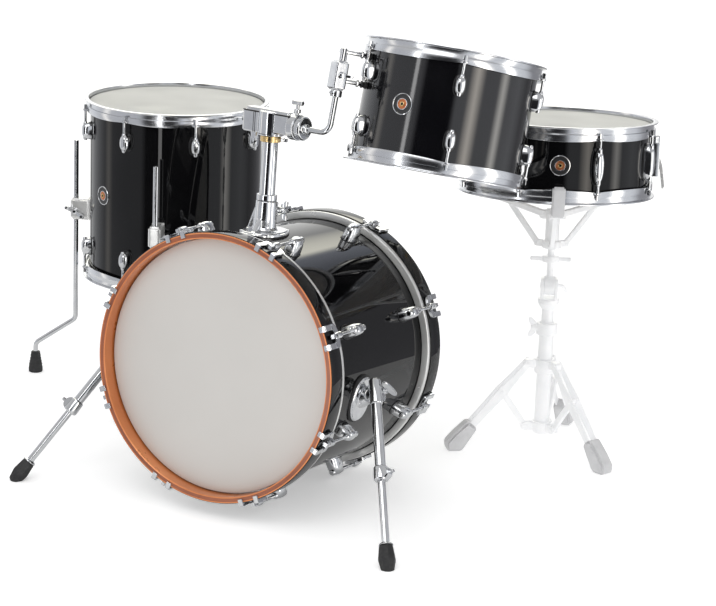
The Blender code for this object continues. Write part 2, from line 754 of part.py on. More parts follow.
def tom_holder(post_axis):
    """The holder swivels on the post; its frame has X along the arm's axis."""
    holder_axis = empty("axis_tom_holder", post_axis, (0, 0, ARM_HEIGHT), Euler((0, 0, HOLDER_TURN)))
    half = HOLDER_HALF
    body = mesh_object("tom_holder", cylinder(0.024, -half, half, 16), holder_axis, "chrome")
    inset = HOLDER_RIGHT - 0.004
    left = box((-HOLDER_LEFT, -0.017, -half + 0.002), (-0.012, 0.017, half - 0.001))
    right = box((0.010, -0.016, -half + 0.005), (HOLDER_RIGHT, 0.016, half - 0.001))
    cap = box((0.004 - HOLDER_LEFT, -0.013, half - 0.003), (inset, 0.013, half + 0.004))
    housing = shifted(along_x(cylinder(0.0235, 0, RATCHET_PLACE - GAP - inset, 14)), inset)
    lever = slab([(-0.048, -half + 0.006), (-0.030, -half + 0.006), (-0.034, -half - 0.016),
                  (-0.040, -half - 0.022)], 0.005)
    clamp_screw = turned(joined(wing_screw(0.0036, 0, 0.003, 0.042)[1:]), Matrix.Rotation(-pi / 2, 4, "Y"))
    clamp_screw = turned(clamp_screw, Matrix.Rotation(pi / 2, 4, "X"))
    clamp_screw = shifted(clamp_screw, 0.002 - HOLDER_LEFT)
    fuse(body, joined([left, right, cap, housing, lever]), "castings")
    fuse(body, clamp_screw, "clamp_screw")
    socket = (POST_RADIUS + 0.0003) / cos(half_step(12))
    cut(body, cylinder(socket, -half - 0.01, half - 0.0075, 12), "socket")
    cut(body, shifted(cylinder(0.0042, -0.002, 0.05, 8), T_BOLT_PLACE), "bolt_hole")

    bolt_axis = empty("axis_tom_t_bolt", holder_axis, (T_BOLT_PLACE, 0, 0.001))
    shank = cylinder(0.0036, 0, 0.043, 8)
    grip = shifted(along_x(cylinder(0.0045, -0.012, 0.012, 8)), z=0.043)
    knob = cylinder(0.0065, 0.0246, 0.032, 8)
    bolt = mesh_object("tom_holder_t_bolt", shank, bolt_axis, "chrome")
    fuse(bolt, joined([knob, grip]), "grip")
    tom_arm(holder_axis)


def tom_arm(holder_axis):
    """The L-arm turns in the ratchet about X; its upper leg is parallel to the rack tom's axis."""
    arm_axis = empty("axis_tom_arm", holder_axis, turn=Euler((ARM_TILT, 0, 0)))
    route = rounded([(RATCHET_PLACE + 0.004, 0, 0), (ARM_REACH, 0, 0), (ARM_REACH, 0, ARM_RISE)], ARM_ARC, 4)
    arm = mesh_object("tom_arm", bar(route, ARM_RADIUS, 8), arm_axis, "chrome")
    ratchet = shifted(along_x(cylinder(RATCHET_RADIUS, 0, 0.013, 14)), RATCHET_PLACE)
    nose = shifted(along_x(cylinder(0.0095, 0.012, 0.019, 8)), RATCHET_PLACE)
    lock_low = TOM_HANG - 0.026 - 0.012 - GAP
    lock = shifted(cylinder(0.0105, lock_low, lock_low + 0.012, 10), ARM_REACH)
    key = box((ARM_REACH - 0.0035, -0.017, lock_low + 0.003), (ARM_REACH + 0.0035, -0.008, lock_low + 0.009))
    fuse(arm, joined([ratchet, nose, lock, key]), "ratchet")
    rack_tom(arm_axis)


# Rack tom

def rack_tom(arm_axis):
    """The rack tom swings on the arm's upper leg. Its frame has Z along that leg."""
    hang = empty("axis_rack_tom", arm_axis, (ARM_REACH, 0, TOM_HANG))
    distance = TOM_RADIUS + TOM_STANDOFF
    away = Vector((cos(TOM_SIDE), sin(TOM_SIDE), 0))
    edge_rise = TOM_TOP_RISE - HOOP_RISE
    middle = edge_rise - TOM_DEPTH / 2 - TOM_HANG
    centre = away * distance + Vector((0, 0, middle))
    frame = empty("rack_tom", hang, centre)
    toward_rod = TOM_SIDE + pi
    angles = lug_angles(TOM_LUGS, toward_rod)
    lug_place = TOM_DEPTH / 2 - TOM_LUG_INSET
    small_drum("rack_tom", frame, TOM_RADIUS, TOM_DEPTH, TOM_SIDES, angles, TOM_LUG_LENGTH,
               (-lug_place, lug_place), toward_rod + TOM_BADGE_TURN)

    # The bracket's own X runs from the rod to the shell, beside the lug's rod
    block = box((-0.012, -0.011, -0.026), (0.012, 0.023, 0.026))
    bracket = mesh_object("tom_bracket", block, hang, "chrome", Euler((0, 0, TOM_SIDE)))
    offset = 0.0165
    reach = distance - TOM_RADIUS * cos(half_step(TOM_SIDES)) - GAP
    pieces = []
    rod_places = (lug_place + middle - 0.0255, lug_place + middle + 0.0255)
    for place in rod_places:
        pieces.append(shifted(along_x(cylinder(0.004, 0, reach - 0.002, 6)), y=offset, z=place))
        pieces.append(shifted(along_x(cylinder(0.0068, reach - 0.010, reach, 8)), y=offset, z=place))
    pieces.append(box((0.008, offset - 0.004, rod_places[0] - 0.005), (0.014, offset + 0.004, rod_places[1] + 0.005)))
    wing = turned(joined(wing_screw(0.0034, 0, 0.003, 0.034)[1:]), Matrix.Rotation(pi / 2, 4, "X"))
    pieces.append(shifted(wing, y=-0.0105))
    fuse(bracket, joined(pieces), "rods")
    socket = (ARM_RADIUS + 0.0003) / cos(half_step(10))
    cut(bracket, cylinder(socket, -0.04, 0.04, 10), "rod_hole")


def small_drum(name, frame, radius, depth, sides, angles, lug_length, lug_places, badge_angle):
    """Shell with fused lugs and badge, two heads, two hoops with their key rods."""
    edge = depth / 2
    start = angles[0] + half_step(sides)
    wall = tube(radius, radius - SHELL_WALL, -edge, edge, sides, start)
    shell = mesh_object(f"{name}_shell", wall, frame, "black_lacquer")

    def lugs():
        return joined([shifted(lug(lug_length, LUG_WIDTH, LUG_HEIGHT), radius, 0, z) for z in lug_places])

    fuse(shell, round_z(lugs, angles), "lugs")
    fuse(shell, round_z(lambda: shifted(badge(), radius), [badge_angle]), "badge")
    end = max(lug_places) + lug_reach(lug_length, LUG_HEIGHT, ROD_RISE - ROD_RADIUS)
    below = [-angle for angle in angles]
    head(f"{name}_top_head", frame, radius, depth, sides, start, "coated_film")
    head(f"{name}_bottom_head", frame, radius, depth, sides, -start, "clear_film", TURN_OVER)
    metal_hoop(f"{name}_top_hoop", frame, radius, depth, sides, angles, end)
    metal_hoop(f"{name}_bottom_hoop", frame, radius, depth, sides, below, end, TURN_OVER)
    return shell


# Floor tom

def floor_tom(kit):
    middle = FLOOR_TOP - HOOP_RISE - FLOOR_DEPTH / 2
    frame = empty("floor_tom", kit, (*FLOOR_PLACE, middle))
    lug_place = FLOOR_DEPTH / 2 - FLOOR_LUG_INSET
    angles = lug_angles(FLOOR_LUGS, 0)
    shell = small_drum("floor_tom", frame, FLOOR_RADIUS, FLOOR_DEPTH, FLOOR_SIDES, angles,
                       TOM_LUG_LENGTH, (-lug_place, lug_place), FLOOR_BADGE_TURN)
    height = BRACKET_HEIGHT - middle
    half = BRACKET_SIZE / 2
    rod_out = FLOOR_RADIUS + LEG_STANDOFF

    def bracket():
        block = box((FLOOR_RADIUS - 0.004, -half, height - half), (rod_out + 0.012, half, height + half))
        wing = shifted(along_x(joined(wing_screw(0.0034, 0, 0.003, 0.032)[1:])), rod_out + 0.011, 0, height)
        return joined([block, wing])

    fuse(shell, round_z(bracket, FLOOR_LEG_TURNS), "brackets")
    hole = (LEG_RADIUS + SLIDE_GAP) / cos(pi / 10)
    cut(shell, round_z(lambda: shifted(cylinder(hole, height - 0.03, height + 0.03, 10), rod_out),
                       FLOOR_LEG_TURNS), "leg_holes")

    for number, (turn, twist) in enumerate(zip(FLOOR_LEG_TURNS, FLOOR_LEG_TWISTS), 1):
        place = (rod_out * cos(turn), rod_out * sin(turn), -middle)
        leg_axis = empty(f"axis_floor_tom_leg_{number}", frame, place, Euler((0, 0, turn + twist)))
        socket_top = FOOT_SOCKET + 0.002
        route = rounded([(0, 0, LEG_TOP), (0, 0, LEG_BEND), (LEG_SPLAY, 0, LEG_LOWER_BEND),
                         (LEG_SPLAY, 0, socket_top)], LEG_ARC, 3)
        mesh_object(f"floor_tom_leg_{number}", bar(route, LEG_RADIUS, 8), leg_axis, "chrome")
        inside = (LEG_RADIUS + GAP) / cos(pi / 10)
        rubber = [
            (inside, FOOT_HEIGHT),
            (FOOT_RADIUS * 0.62, FOOT_HEIGHT),
            (FOOT_RADIUS, 0.008),
            (FOOT_RADIUS * 0.92, 0),
            (0, 0),
            (0, socket_top - GAP),
            (inside, socket_top - GAP),
        ]
        foot = shifted(lathe(rubber, 10), LEG_SPLAY)
        mesh_object(f"floor_tom_foot_{number}", foot, leg_axis, "black_rubber")


# Snare drum

def snare_drum(basket):
    """The snare drum lies in the basket; its lugs clear the basket's three grips."""
    middle = BASKET_SEAT + GAP + HOOP_RISE + SNARE_DEPTH / 2
    frame = empty("snare", basket, (0, 0, middle))
    angles = lug_angles(SNARE_LUGS, tau / SNARE_LUGS / 2)
    shell = small_drum("snare", frame, SNARE_RADIUS, SNARE_DEPTH, FLOOR_SIDES, angles,
                       SNARE_LUG_LENGTH, (0,), pi)
    butt = box((SNARE_RADIUS - 0.004, -0.014, -0.026), (SNARE_RADIUS + 0.012, 0.014, 0.012))
    fuse(shell, turned(butt, Matrix.Rotation(STRAINER_TURN + pi, 4, "Z")), "butt_plate")

    side = empty("strainer", frame, turn=Euler((0, 0, STRAINER_TURN)))
    outside = SNARE_RADIUS
    body = mesh_object(
        "snare_strainer",
        box((outside - 0.010, -0.014, -0.036), (outside + 0.020, 0.014, 0.030)),
        side,
        "chrome",
    )
    knob = shifted(cylinder(0.0085, 0.028, 0.044, 10), outside + 0.010)
    fuse(body, knob, "knob")
    fork = box((outside + 0.0065, -0.0052, -0.025), (outside + 0.03, 0.0052, 0.014))
    cut(body, fork, "fork")
    start = angles[0] + half_step(FLOOR_SIDES) - STRAINER_TURN
    cut(body, cylinder(SNARE_RADIUS + GAP, -0.1, 0.1, FLOOR_SIDES, start), "seat")

    lever_axis = empty("axis_strainer_lever", side, (outside + 0.0165, 0, -0.004))
    lever = slab([(-0.003, 0.006), (0.004, 0.006), (0.010, -0.012), (0.016, -0.052), (0.011, -0.056),
                  (0.005, -0.014), (-0.003, -0.006)], 0.0048)
    mesh_object("strainer_lever", lever, lever_axis, "chrome")

    half_length, half_width = SNARE_WIRE_LENGTH / 2, SNARE_WIRE_WIDTH / 2
    under = -SNARE_DEPTH / 2 - HEAD_FILM - 2 * GAP
    plate = box((half_length - 0.018, -half_width, under - 0.0014), (half_length, half_width, under))
    wires = mesh_object("snare_wires", plate, frame, "steel_wire", Euler((0, 0, STRAINER_TURN)))
    pieces = [box((-half_length, -half_width, under - 0.0014), (0.018 - half_length, half_width, under))]
    spacing = (SNARE_WIRE_WIDTH - 0.006) / (SNARE_STRANDS - 1)
    for i in range(SNARE_STRANDS):
        y = 0.003 - half_width + i * spacing
        strand = along_x(cylinder(0.0007, 0.010 - half_length, half_length - 0.010, 4))
        pieces.append(shifted(strand, 0, y, under - 0.0007))
    fuse(wires, joined(pieces), "strands")


# Snare stand

def snare_stand(kit):
    stand = empty("snare_stand", kit, (*STAND_PLACE, 0), Euler((0, 0, STAND_TURN)))
    thirds = [tau * i / 3 for i in range(3)]
    bore = STAND_TUBE_RADIUS - STAND_TUBE_WALL
    ear_half = LEG_BAR_GAP / 2 - GAP

    lower = mesh_object("stand_tube", tube(STAND_TUBE_RADIUS, bore, STAND_TUBE_LOW, STAND_CLAMP_TOP, 12),
                        stand, "satin_metal")
    low = BRACE_PIVOT[1]
    hub = tube(COLLAR_RADIUS, STAND_TUBE_RADIUS - 0.0006, low - 0.010, low + 0.010, 12)
    clamp = tube(COLLAR_RADIUS, STAND_TUBE_RADIUS - 0.0006, STAND_CLAMP_TOP - 0.026, STAND_CLAMP_TOP, 12)

    def brace_ears():
        pair = []
        for side in (-1, 1):
            middle = side * (BRACE_WIDTH / 2 + GAP + 0.0015)
            plate = box((COLLAR_RADIUS - 0.003, middle - 0.0015, low - 0.008),
                        (BRACE_PIVOT[0] + 0.007, middle + 0.0015, low + 0.008))
            pair.append(plate)
        return joined(pair)

    nut = shifted(along_x(joined(wing_screw(0.004, 0, 0.004, 0.040)[1:])), COLLAR_RADIUS - 0.002, 0,
                  STAND_CLAMP_TOP - 0.013)
    nut = turned(nut, Matrix.Rotation(radians(208.8) - STAND_TURN, 4, "Z"))
    fuse(lower, joined([hub, clamp]), "collars")
    fuse(lower, joined([round_z(brace_ears, thirds), nut]), "ears")

    collar_axis = empty("axis_stand_collar", stand)
    high = LEG_PIVOT[1]
    sliding = STAND_TUBE_RADIUS + SLIDE_GAP
    collar = mesh_object("stand_leg_collar", tube(COLLAR_RADIUS, sliding, high - 0.020, high + 0.008, 12),
                         collar_axis, "satin_metal")
    fuse(collar, round_z(lambda: box((COLLAR_RADIUS - 0.003, -ear_half, high - 0.009),
                                     (LEG_PIVOT[0] + 0.007, ear_half, high + 0.007)), thirds), "ears")

    for number, turn in enumerate(thirds, 1):
        stand_leg(collar_axis, number, turn)
        stand_brace(stand, number, turn)
    height_tube(stand, bore)


def leg_line():
    """The open leg's slope, as unit (radius, height) steps, and its length to the foot."""
    run = STAND_FOOT[0] - LEG_PIVOT[0]
    fall = STAND_FOOT[1] - LEG_PIVOT[1]
    length = hypot(run, fall)
    return run / length, fall / length, length


def stand_leg(collar_axis, number, turn):
    """A double-bar leg with its rubber boot, hinged on the sliding collar."""
    out, down, length = leg_line()
    place = (LEG_PIVOT[0] * cos(turn), LEG_PIVOT[0] * sin(turn), LEG_PIVOT[1])
    hinge = empty(f"axis_stand_leg_{number}", collar_axis, place, Euler((0, 0, turn)))

    def on_leg(s, rise):
        return out * s - down * rise, down * s + out * rise

    end = length - 0.030
    outline = [on_leg(-0.008, -0.006), on_leg(-0.008, 0.006), on_leg(length * BRACE_SHARE, 0.010),
               on_leg(end, 0.007), on_leg(end, -0.007), on_leg(length * BRACE_SHARE, -0.010)]
    shift = LEG_BAR_GAP / 2 + LEG_BAR / 2
    bars = [shifted(slab(outline, LEG_BAR / 2), y=side * shift) for side in (-1, 1)]
    floor = -LEG_PIVOT[1]
    boot_top = length - 0.055
    boot = slab([on_leg(boot_top, -0.013), on_leg(boot_top, 0.013), on_leg(length + 0.008, 0.017),
                 (STAND_FOOT[0] + 0.014 - LEG_PIVOT[0], floor), (STAND_FOOT[0] - 0.016 - LEG_PIVOT[0], floor)],
                BOOT_WIDTH / 2)
    leg = mesh_object(f"stand_leg_{number}", boot, hinge, "satin_metal")
    fuse(leg, joined(bars), "bars")


def stand_brace(stand, number, turn):
    """A brace from the fixed hub to the leg's middle; its upper eye turns between the leg's bars."""
    out, down, length = leg_line()
    upper = (LEG_PIVOT[0] + out * length * BRACE_SHARE, LEG_PIVOT[1] + down * length * BRACE_SHARE)
    place = (BRACE_PIVOT[0] * cos(turn), BRACE_PIVOT[0] * sin(turn), BRACE_PIVOT[1])
    hinge = empty(f"axis_stand_brace_{number}", stand, place, Euler((0, 0, turn)))
    rise = Vector((upper[0] - BRACE_PIVOT[0], upper[1] - BRACE_PIVOT[1]))
    way = rise.normalized()
    side = Vector((-way.y, way.x)) * 0.006
    start, end = way * -0.005, rise + way * 0.002
    outline = [(start + side)[:], (start - side)[:], (end - side)[:], (end + side)[:]]
    brace = mesh_object(f"stand_brace_{number}", slab(outline, BRACE_WIDTH / 2), hinge, "satin_metal")
    eye = along_y(cylinder(0.0045, -LEG_BAR_GAP / 2 + GAP, LEG_BAR_GAP / 2 - GAP, 8))
    fuse(brace, shifted(eye, rise.x, 0, rise.y), "eye")


def height_tube(stand, bore):
    """The height tube slides in the lower tube and carries the tilter's fork."""
    slide = empty("axis_stand_height", stand)
    top = TILTER_HEIGHT - 0.043
    tube_shape = tube(bore - SLIDE_GAP, bore - SLIDE_GAP - 0.0016, HEIGHT_TUBE_LOW, top, 12)
    made = mesh_object("stand_height_tube", tube_shape, slide, "satin_metal")
    turn = Matrix.Rotation(BASKET_AZIMUTH - STAND_TURN, 4, "Z")
    low = TILTER_HEIGHT - TILTER_RADIUS - 0.007
    cup = lathe([(0, top - 0.004), (0.0135, top - 0.004), (0.021, top + 0.008), (0.021, low), (0, low)], 12)
    cheeks = []
    for side in (-1, 1):
        middle = side * 0.0135
        cheeks.append(box((-0.017, middle - 0.003, low - 0.003), (0.017, middle + 0.003, TILTER_HEIGHT + 0.016),
                          0.001))
    lever = bar([(0, -0.015, TILTER_HEIGHT), (0.004, -0.027, TILTER_HEIGHT - 0.002),
                 (0.016, -0.034, TILTER_HEIGHT - 0.016)], 0.0035, 6)
    fuse(made, turned(cup, turn), "cup")
    fuse(made, turned(joined(cheeks + [lever]), turn), "cheeks")

    turn_and_tilt = Matrix.Rotation(BASKET_AZIMUTH - STAND_TURN, 4, "Z") @ Matrix.Rotation(BASKET_TILT, 4, "Y")
    basket = empty("axis_tilter", slide, (0, 0, TILTER_HEIGHT), turn_and_tilt.to_euler())
    knuckle = along_y(cylinder(TILTER_RADIUS, -0.0102, 0.0102, 12))
    post = mesh_object("basket_post", knuckle, basket, "satin_metal")
    neck = cylinder(BASKET_NECK, 0.010, BASKET_BLOCK[0] + 0.004, 10)
    block = cylinder(BASKET_BLOCK_RADIUS, *BASKET_BLOCK, 12)
    lower_collar = cylinder(BASKET_BLOCK_RADIUS + 0.005, BASKET_BLOCK[0] + 0.002, BASKET_BLOCK[0] + 0.016, 12)
    fuse(post, joined([neck, block]), "neck")

    def ears(half, reach, low, high):
        pair = []
        for side in (-1, 1):
            middle = side * (half + GAP + 0.001)
            pair.append(box((0.010, middle - 0.001, low), (reach, middle + 0.001, high)))
        return joined(pair)

    def both_ears():
        upper = ears(BASKET_ARM_HALF, ARM_PIVOT[0] + 0.006, ARM_PIVOT[1] - 0.008, ARM_PIVOT[1] + 0.008)
        lower = ears(BASKET_LINK_HALF, LINK_FOOT + 0.010, BASKET_BLOCK[0] + 0.003, BASKET_BLOCK[0] + 0.015)
        return joined([upper, lower])

    fuse(post, joined([lower_collar, round_z(both_ears, BASKET_TURNS)]), "ears")

    nut_axis = empty("axis_basket_nut", basket, (0, 0, BASKET_NUT))
    inside = (BASKET_NECK + 0.0003) / cos(pi / 10)
    nut = mesh_object("basket_nut", tube(0.0165, inside, -0.006, 0.006, 10), nut_axis, "satin_metal")
    handles = [box((0.014, -0.005, -0.004), (0.040, 0.005, 0.004), 0.001),
               box((-0.040, -0.005, -0.004), (-0.014, 0.005, 0.004), 0.001)]
    fuse(nut, turned(joined(handles), Matrix.Rotation(radians(-88), 4, "Z")), "handles")

    for number, turn in enumerate(BASKET_TURNS, 1):
        basket_arm(basket, number, turn)
    snare_drum(basket)


def basket_arm(basket, number, turn):
    """A basket arm: upper bar, link down towards the nut, and the rubber grip at the snare drum's hoop."""
    place = (ARM_PIVOT[0] * cos(turn), ARM_PIVOT[0] * sin(turn), ARM_PIVOT[1])
    hinge = empty(f"axis_basket_arm_{number}", basket, place, Euler((0, 0, turn)))
    seat = BASKET_SEAT - ARM_PIVOT[1]
    lip = SNARE_RADIUS + HOOP_LIP - ARM_PIVOT[0] + GAP
    upper = slab([(-0.0045, -0.006), (-0.0045, 0.006), (lip - 0.016, seat - 0.008), (lip + 0.004, seat - 0.008),
                  (lip + 0.004, seat - 0.020), (lip - 0.024, seat - 0.020)], BASKET_ARM_HALF)
    foot = LINK_FOOT - ARM_PIVOT[0]
    low = BASKET_BLOCK[0] + 0.003 - ARM_PIVOT[1]
    link = slab([(foot, low + 0.007), (foot + 0.002, low), (foot + 0.009, low + 0.002),
                 (BASKET_LINK_REACH, 0.010), (BASKET_LINK_REACH - 0.008, 0.016)], BASKET_LINK_HALF)
    grip = slab([(lip - 0.018, seat), (lip - 0.018, seat - 0.022), (lip + 0.014, seat - 0.022),
                 (lip + 0.014, seat + 0.034), (lip + 0.004, seat + 0.036), (lip, seat + 0.030), (lip, seat)],
                GRIP_WIDTH / 2)
    arm = mesh_object(f"basket_arm_{number}", upper, hinge, "satin_metal")
    fuse(arm, grip, "grip")
    fuse(arm, link, "link")


# Assembly

def stand_on_origin(kit):
    """Moves the kit so that the middle of its footprint is the origin."""
    bpy.context.view_layer.update()
    graph = bpy.context.evaluated_depsgraph_get()
    low, high = Vector((9, 9, 9)), Vector((-9, -9, -9))
    for piece in bpy.context.scene.objects:
        if piece.type != "MESH" or piece.hide_render:
            continue
        seen = piece.evaluated_get(graph)
        mesh = seen.to_mesh()
        for vertex in mesh.vertices:
            point = seen.matrix_world @ vertex.co
            low = Vector(map(min, low, point))
            high = Vector(map(max, high, point))
        seen.to_mesh_clear()
    kit.location = (-(low.x + high.x) / 2, -(low.y + high.y) / 2, 0)


def main():
    clear_scene()
    kit = empty("kit", None)
    bass = bass_drum(kit)
    for side, label in ((1, "right"), (-1, "left")):
        spur(bass, side, label)
    tom_mount(bass)
    floor_tom(kit)
    snare_stand(kit)
    stand_on_origin(kit)


main()
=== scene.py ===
"""Drum kit on a pale studio floor: bass drum with a rack tom, floor tom, and snare drum on its stand.

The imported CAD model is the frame. Each visible piece is modelled here in metres and rides on a CAD body.
A stand_in replaces the CAD node of its own name, any other piece is a detail beside one.
"""

from math import atan2, cos, hypot, pi, radians, sin, sqrt, tau

import bmesh
import bpy
from mathutils import Euler, Matrix, Vector


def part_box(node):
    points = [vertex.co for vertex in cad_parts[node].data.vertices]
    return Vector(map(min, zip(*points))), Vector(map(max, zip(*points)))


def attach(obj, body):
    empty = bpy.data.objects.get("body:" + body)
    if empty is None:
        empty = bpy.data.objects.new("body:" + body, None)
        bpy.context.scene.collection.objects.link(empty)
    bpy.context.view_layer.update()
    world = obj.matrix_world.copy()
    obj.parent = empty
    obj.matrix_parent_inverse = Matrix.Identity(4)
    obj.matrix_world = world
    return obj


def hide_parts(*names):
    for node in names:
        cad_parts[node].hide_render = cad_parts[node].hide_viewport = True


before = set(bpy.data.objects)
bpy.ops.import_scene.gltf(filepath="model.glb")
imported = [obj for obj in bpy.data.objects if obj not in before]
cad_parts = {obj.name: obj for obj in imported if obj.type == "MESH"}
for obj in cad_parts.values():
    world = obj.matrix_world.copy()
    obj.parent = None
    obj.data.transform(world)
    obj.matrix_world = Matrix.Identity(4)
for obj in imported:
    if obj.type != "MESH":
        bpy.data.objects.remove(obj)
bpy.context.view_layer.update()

# Clearances
GAP = 0.0003
SLIDE_GAP = 0.0004

# Sides of the large rounds, and the angle from which an edge is shaded sharp
BASS_SIDES = 256
HOOP_SIDES = 240
HEAD_SIDES = 160
CREASE = radians(38)

# Shared shapes: a cutter's reach, a thread's root, and the narrowed ends of a bar, as shares of the radius
CUT_REACH = 0.3
THREAD_ROOT = 0.86
BAR_TIP = 0.7

# Bass drum
BASS_RADIUS = 0.2285
BASS_DEPTH = 0.356
BASS_WALL = 0.007
BASS_TILT = radians(4.3)
BASS_HOOP_RADIUS = 0.2445
BASS_HOOP_WALL = 0.012
BASS_HOOP_WIDTH = 0.038
BASS_FLESH_WIDTH = 0.01
BASS_LUGS = 8
BASS_LUG = (0.039, 0.026, 0.031)
BASS_LUG_PLACE = 0.105
BASS_ROD_RISE = 0.024
BASS_ROD_RADIUS = 0.0036
CLAW_PRONG_PLACE = 0.0165
CLAW_PRONG_HALF = 0.005
CLAW_YOKE = 0.016
CLAW_HOOK = 0.008
CLAW_SHEET = 0.0062
INLAY = 0.0012

# Heads, metal hoops and lugs of the smaller drums
HEAD_FILM = 0.0012
HEAD_COLLAR = 0.0022
FLESH_OUT = 0.0068
FLESH_TOP = 0.007
FLESH_HEIGHT = 0.006
HOOP_SHEET = 0.0023
HOOP_RISE = 0.009
HOOP_LIP = 0.0137
HOOP_WALL_IN = 0.0035
SKIRT_AT_EAR = 0.0145
SCALLOP = 0.004
EAR_REACH = 0.017
EAR_WIDTH = 0.015
ROD_RISE = 0.0125
ROD_RADIUS = 0.0026
ROD_THREAD_BELOW = 0.026
ROD_HEAD = 0.0066
LUG_WIDTH = 0.021
LUG_HEIGHT = 0.0195
BADGE_RADIUS = 0.0195
SHELL_WALL = 0.006

# Rack tom, floor tom and snare drum
TOM_RADIUS, TOM_DEPTH, TOM_LUGS = 0.1524, 0.203, 5
TOM_LUG_LENGTH, TOM_LUG_INSET = 0.037, 0.053
TOM_BADGE_TURN = radians(36)
FLOOR_RADIUS, FLOOR_DEPTH, FLOOR_LUGS = 0.1778, 0.356, 8
FLOOR_PLACE = (-0.505, 0.434)
FLOOR_TOP = 0.611
FLOOR_LUG_INSET = 0.056
FLOOR_LEG_TURNS = [radians(a) for a in (-157.5, -67.5, 67.5)]
FLOOR_LEG_TWISTS = [radians(a) for a in (0, -30, 0)]
FLOOR_BADGE_TURN = radians(-112.5)
FLOOR_WING_TURN = radians(-28)
LEG_RADIUS = 0.0052
LEG_STANDOFF = 0.034
LEG_TOP = 0.511
LEG_BENDS = (0.124, 0.064)
LEG_SPLAY = 0.087
LEG_ARC = 0.018
BRACKET_HEIGHT = 0.365
BRACKET_SIZE = 0.026
FOOT_HEIGHT = 0.045
FOOT_RADIUS = 0.0155
SNARE_RADIUS, SNARE_DEPTH, SNARE_LUGS = 0.1778, 0.127, 8
SNARE_LUG_LENGTH = 0.07
SNARE_STRANDS = 16
SNARE_COIL = 0.0005
SNARE_WIRE_LENGTH = 0.3
SNARE_WIRE_WIDTH = 0.044
STRAINER_TURN = radians(-90)

# Spurs
SPUR_PLACE = 0.066
SPUR_DROP = 0.038
SPUR_SPLAY = radians(26.3)
SPUR_FORWARD = radians(27.6)
SPUR_SCREW_TURN = radians(70)
SPUR_STANDOFF = 0.036
SPUR_OFFSET = 0.019
SPUR_TUBE_RADIUS = 0.0095
SPUR_TUBE_WALL = 0.0022
SPUR_TUBE_ABOVE = 0.016
SPUR_TUBE_LENGTH = 0.17
SPUR_CLAMP_RADIUS = 0.0135
SPUR_ROD_TOP = -0.11
SPUR_TIP_LENGTH = 0.044
SPUR_TIP_RADIUS = 0.0165

# Tom mount
MOUNT_PLACE = 0.056
MOUNT_PLATE = (0.078, 0.104)
POST_RADIUS = 0.0143
POST_WALL = 0.002
POST_BELOW = 0.085
RECEIVER_RADIUS = 0.0205
RECEIVER_TOP = 0.06
ARM_HEIGHT = 0.2
HOLDER_TURN = radians(-9.5)
HOLDER_HALF = 0.022
ARM_TILT = radians(-10.0)
ARM_RADIUS = 0.0055
ARM_REACH = 0.133
ARM_RISE = 0.152
ARM_ARC = 0.018
RATCHET_PLACE = 0.0665
RATCHET_RADIUS = 0.0215
TOM_HANG = 0.103
TOM_STANDOFF = 0.0607
TOM_SIDE = radians(60)
TOM_TOP_RISE = 0.183
TOM_RODS_ASIDE = 0.0165
TOM_RODS_APART = 0.051

# Snare stand
STAND_PLACE = (0.334, 0.486)
STAND_TURN = radians(-22)
STAND_TUBE_RADIUS = 0.0143
STAND_TUBE_WALL = 0.0022
STAND_TUBE_LOW = 0.034
STAND_CLAMP_TOP = 0.262
STAND_NUT_TURN = radians(208.8)
COLLAR_RADIUS = 0.0205
LEG_PIVOT = (0.034, 0.178)
BRACE_PIVOT = (0.034, 0.048)
STAND_FOOT = (0.176, 0.0122)
BRACE_SHARE = 0.35
LEG_BAR = 0.003
LEG_BAR_GAP = 0.016
BRACE_WIDTH = 0.008
BOOT_WIDTH = 0.032
TILTER_HEIGHT = 0.335
TILTER_RADIUS = 0.019
BASKET_AZIMUTH = radians(116.5)
BASKET_TILT = radians(4.4)
BASKET_NECK = 0.0065
BASKET_NUT = 0.052
BASKET_NUT_TURN = radians(-88)
BASKET_BLOCK = (0.072, 0.15)
BASKET_BLOCK_RADIUS = 0.0135
BASKET_ARM_HALF = 0.006
BASKET_LINK_HALF = 0.004
LINK_FOOT = 0.0258
BASKET_SEAT = 0.185
BASKET_TURNS = [radians(a) for a in (180, -60, 60)]
ARM_PIVOT = (0.02, 0.138)
GRIP_WIDTH = 0.024

# Each light has its place, target, size, power, and whether it lights more than reflections.
STUDIO_SIZE, SHEET_RADIUS = 30, 1.15
FLOOR_GLOW, SHEET_GLOW = 0.37, 0.15
STRIP_LIGHT = ((-0.02, -1.27, 0.35), (0.1, 0.1, 0.35), (0.12, 2.2), 3.3, False)
KEY_LIGHT = ((0.6, -2.6, 3.0), (0.05, 0.0, 0.3), (2.4, 1.8), 26, True)
SKY_EVEN = 0.8
SKY_PEAK = 5.0
DARK = (0.02, 0.02, 0.022)
PALE = (0.8, 0.82, 0.86)
SHADE = (0.58, 0.59, 0.62)
TOP = (0.7, 0.7, 0.7)
SIDE_STOPS = [
    (-180, PALE), (-166, SHADE), (-158, (1.5, 1.45, 1.38)), (-150, SHADE), (-104, SHADE), (-97, DARK),
    (-56, DARK), (-50, PALE), (-38, PALE), (-27, (5.0, 4.7, 4.3)), (-16, PALE), (4, PALE),
    (13, (4.6, 4.5, 4.3)), (22, PALE), (40, PALE), (58, (0.3, 0.3, 0.32)), (95, (0.36, 0.36, 0.38)),
    (118, (1.3, 1.3, 1.28)), (180, PALE)]
CEILING_STOPS = [
    (-180, TOP), (-100, (0.55, 0.55, 0.56)), (40, (0.6, 0.6, 0.62)), (62, (0.12, 0.12, 0.13)),
    (86, (0.5, 0.54, 0.62)), (98, (0.9, 0.95, 1.08)), (101, (4.0, 3.92, 3.45)), (138, (3.7, 3.62, 3.15)),
    (150, TOP), (180, TOP)]
RISE_STOPS = [(-1.0, 0), (0.3, 0), (0.42, 1), (1.0, 1)]

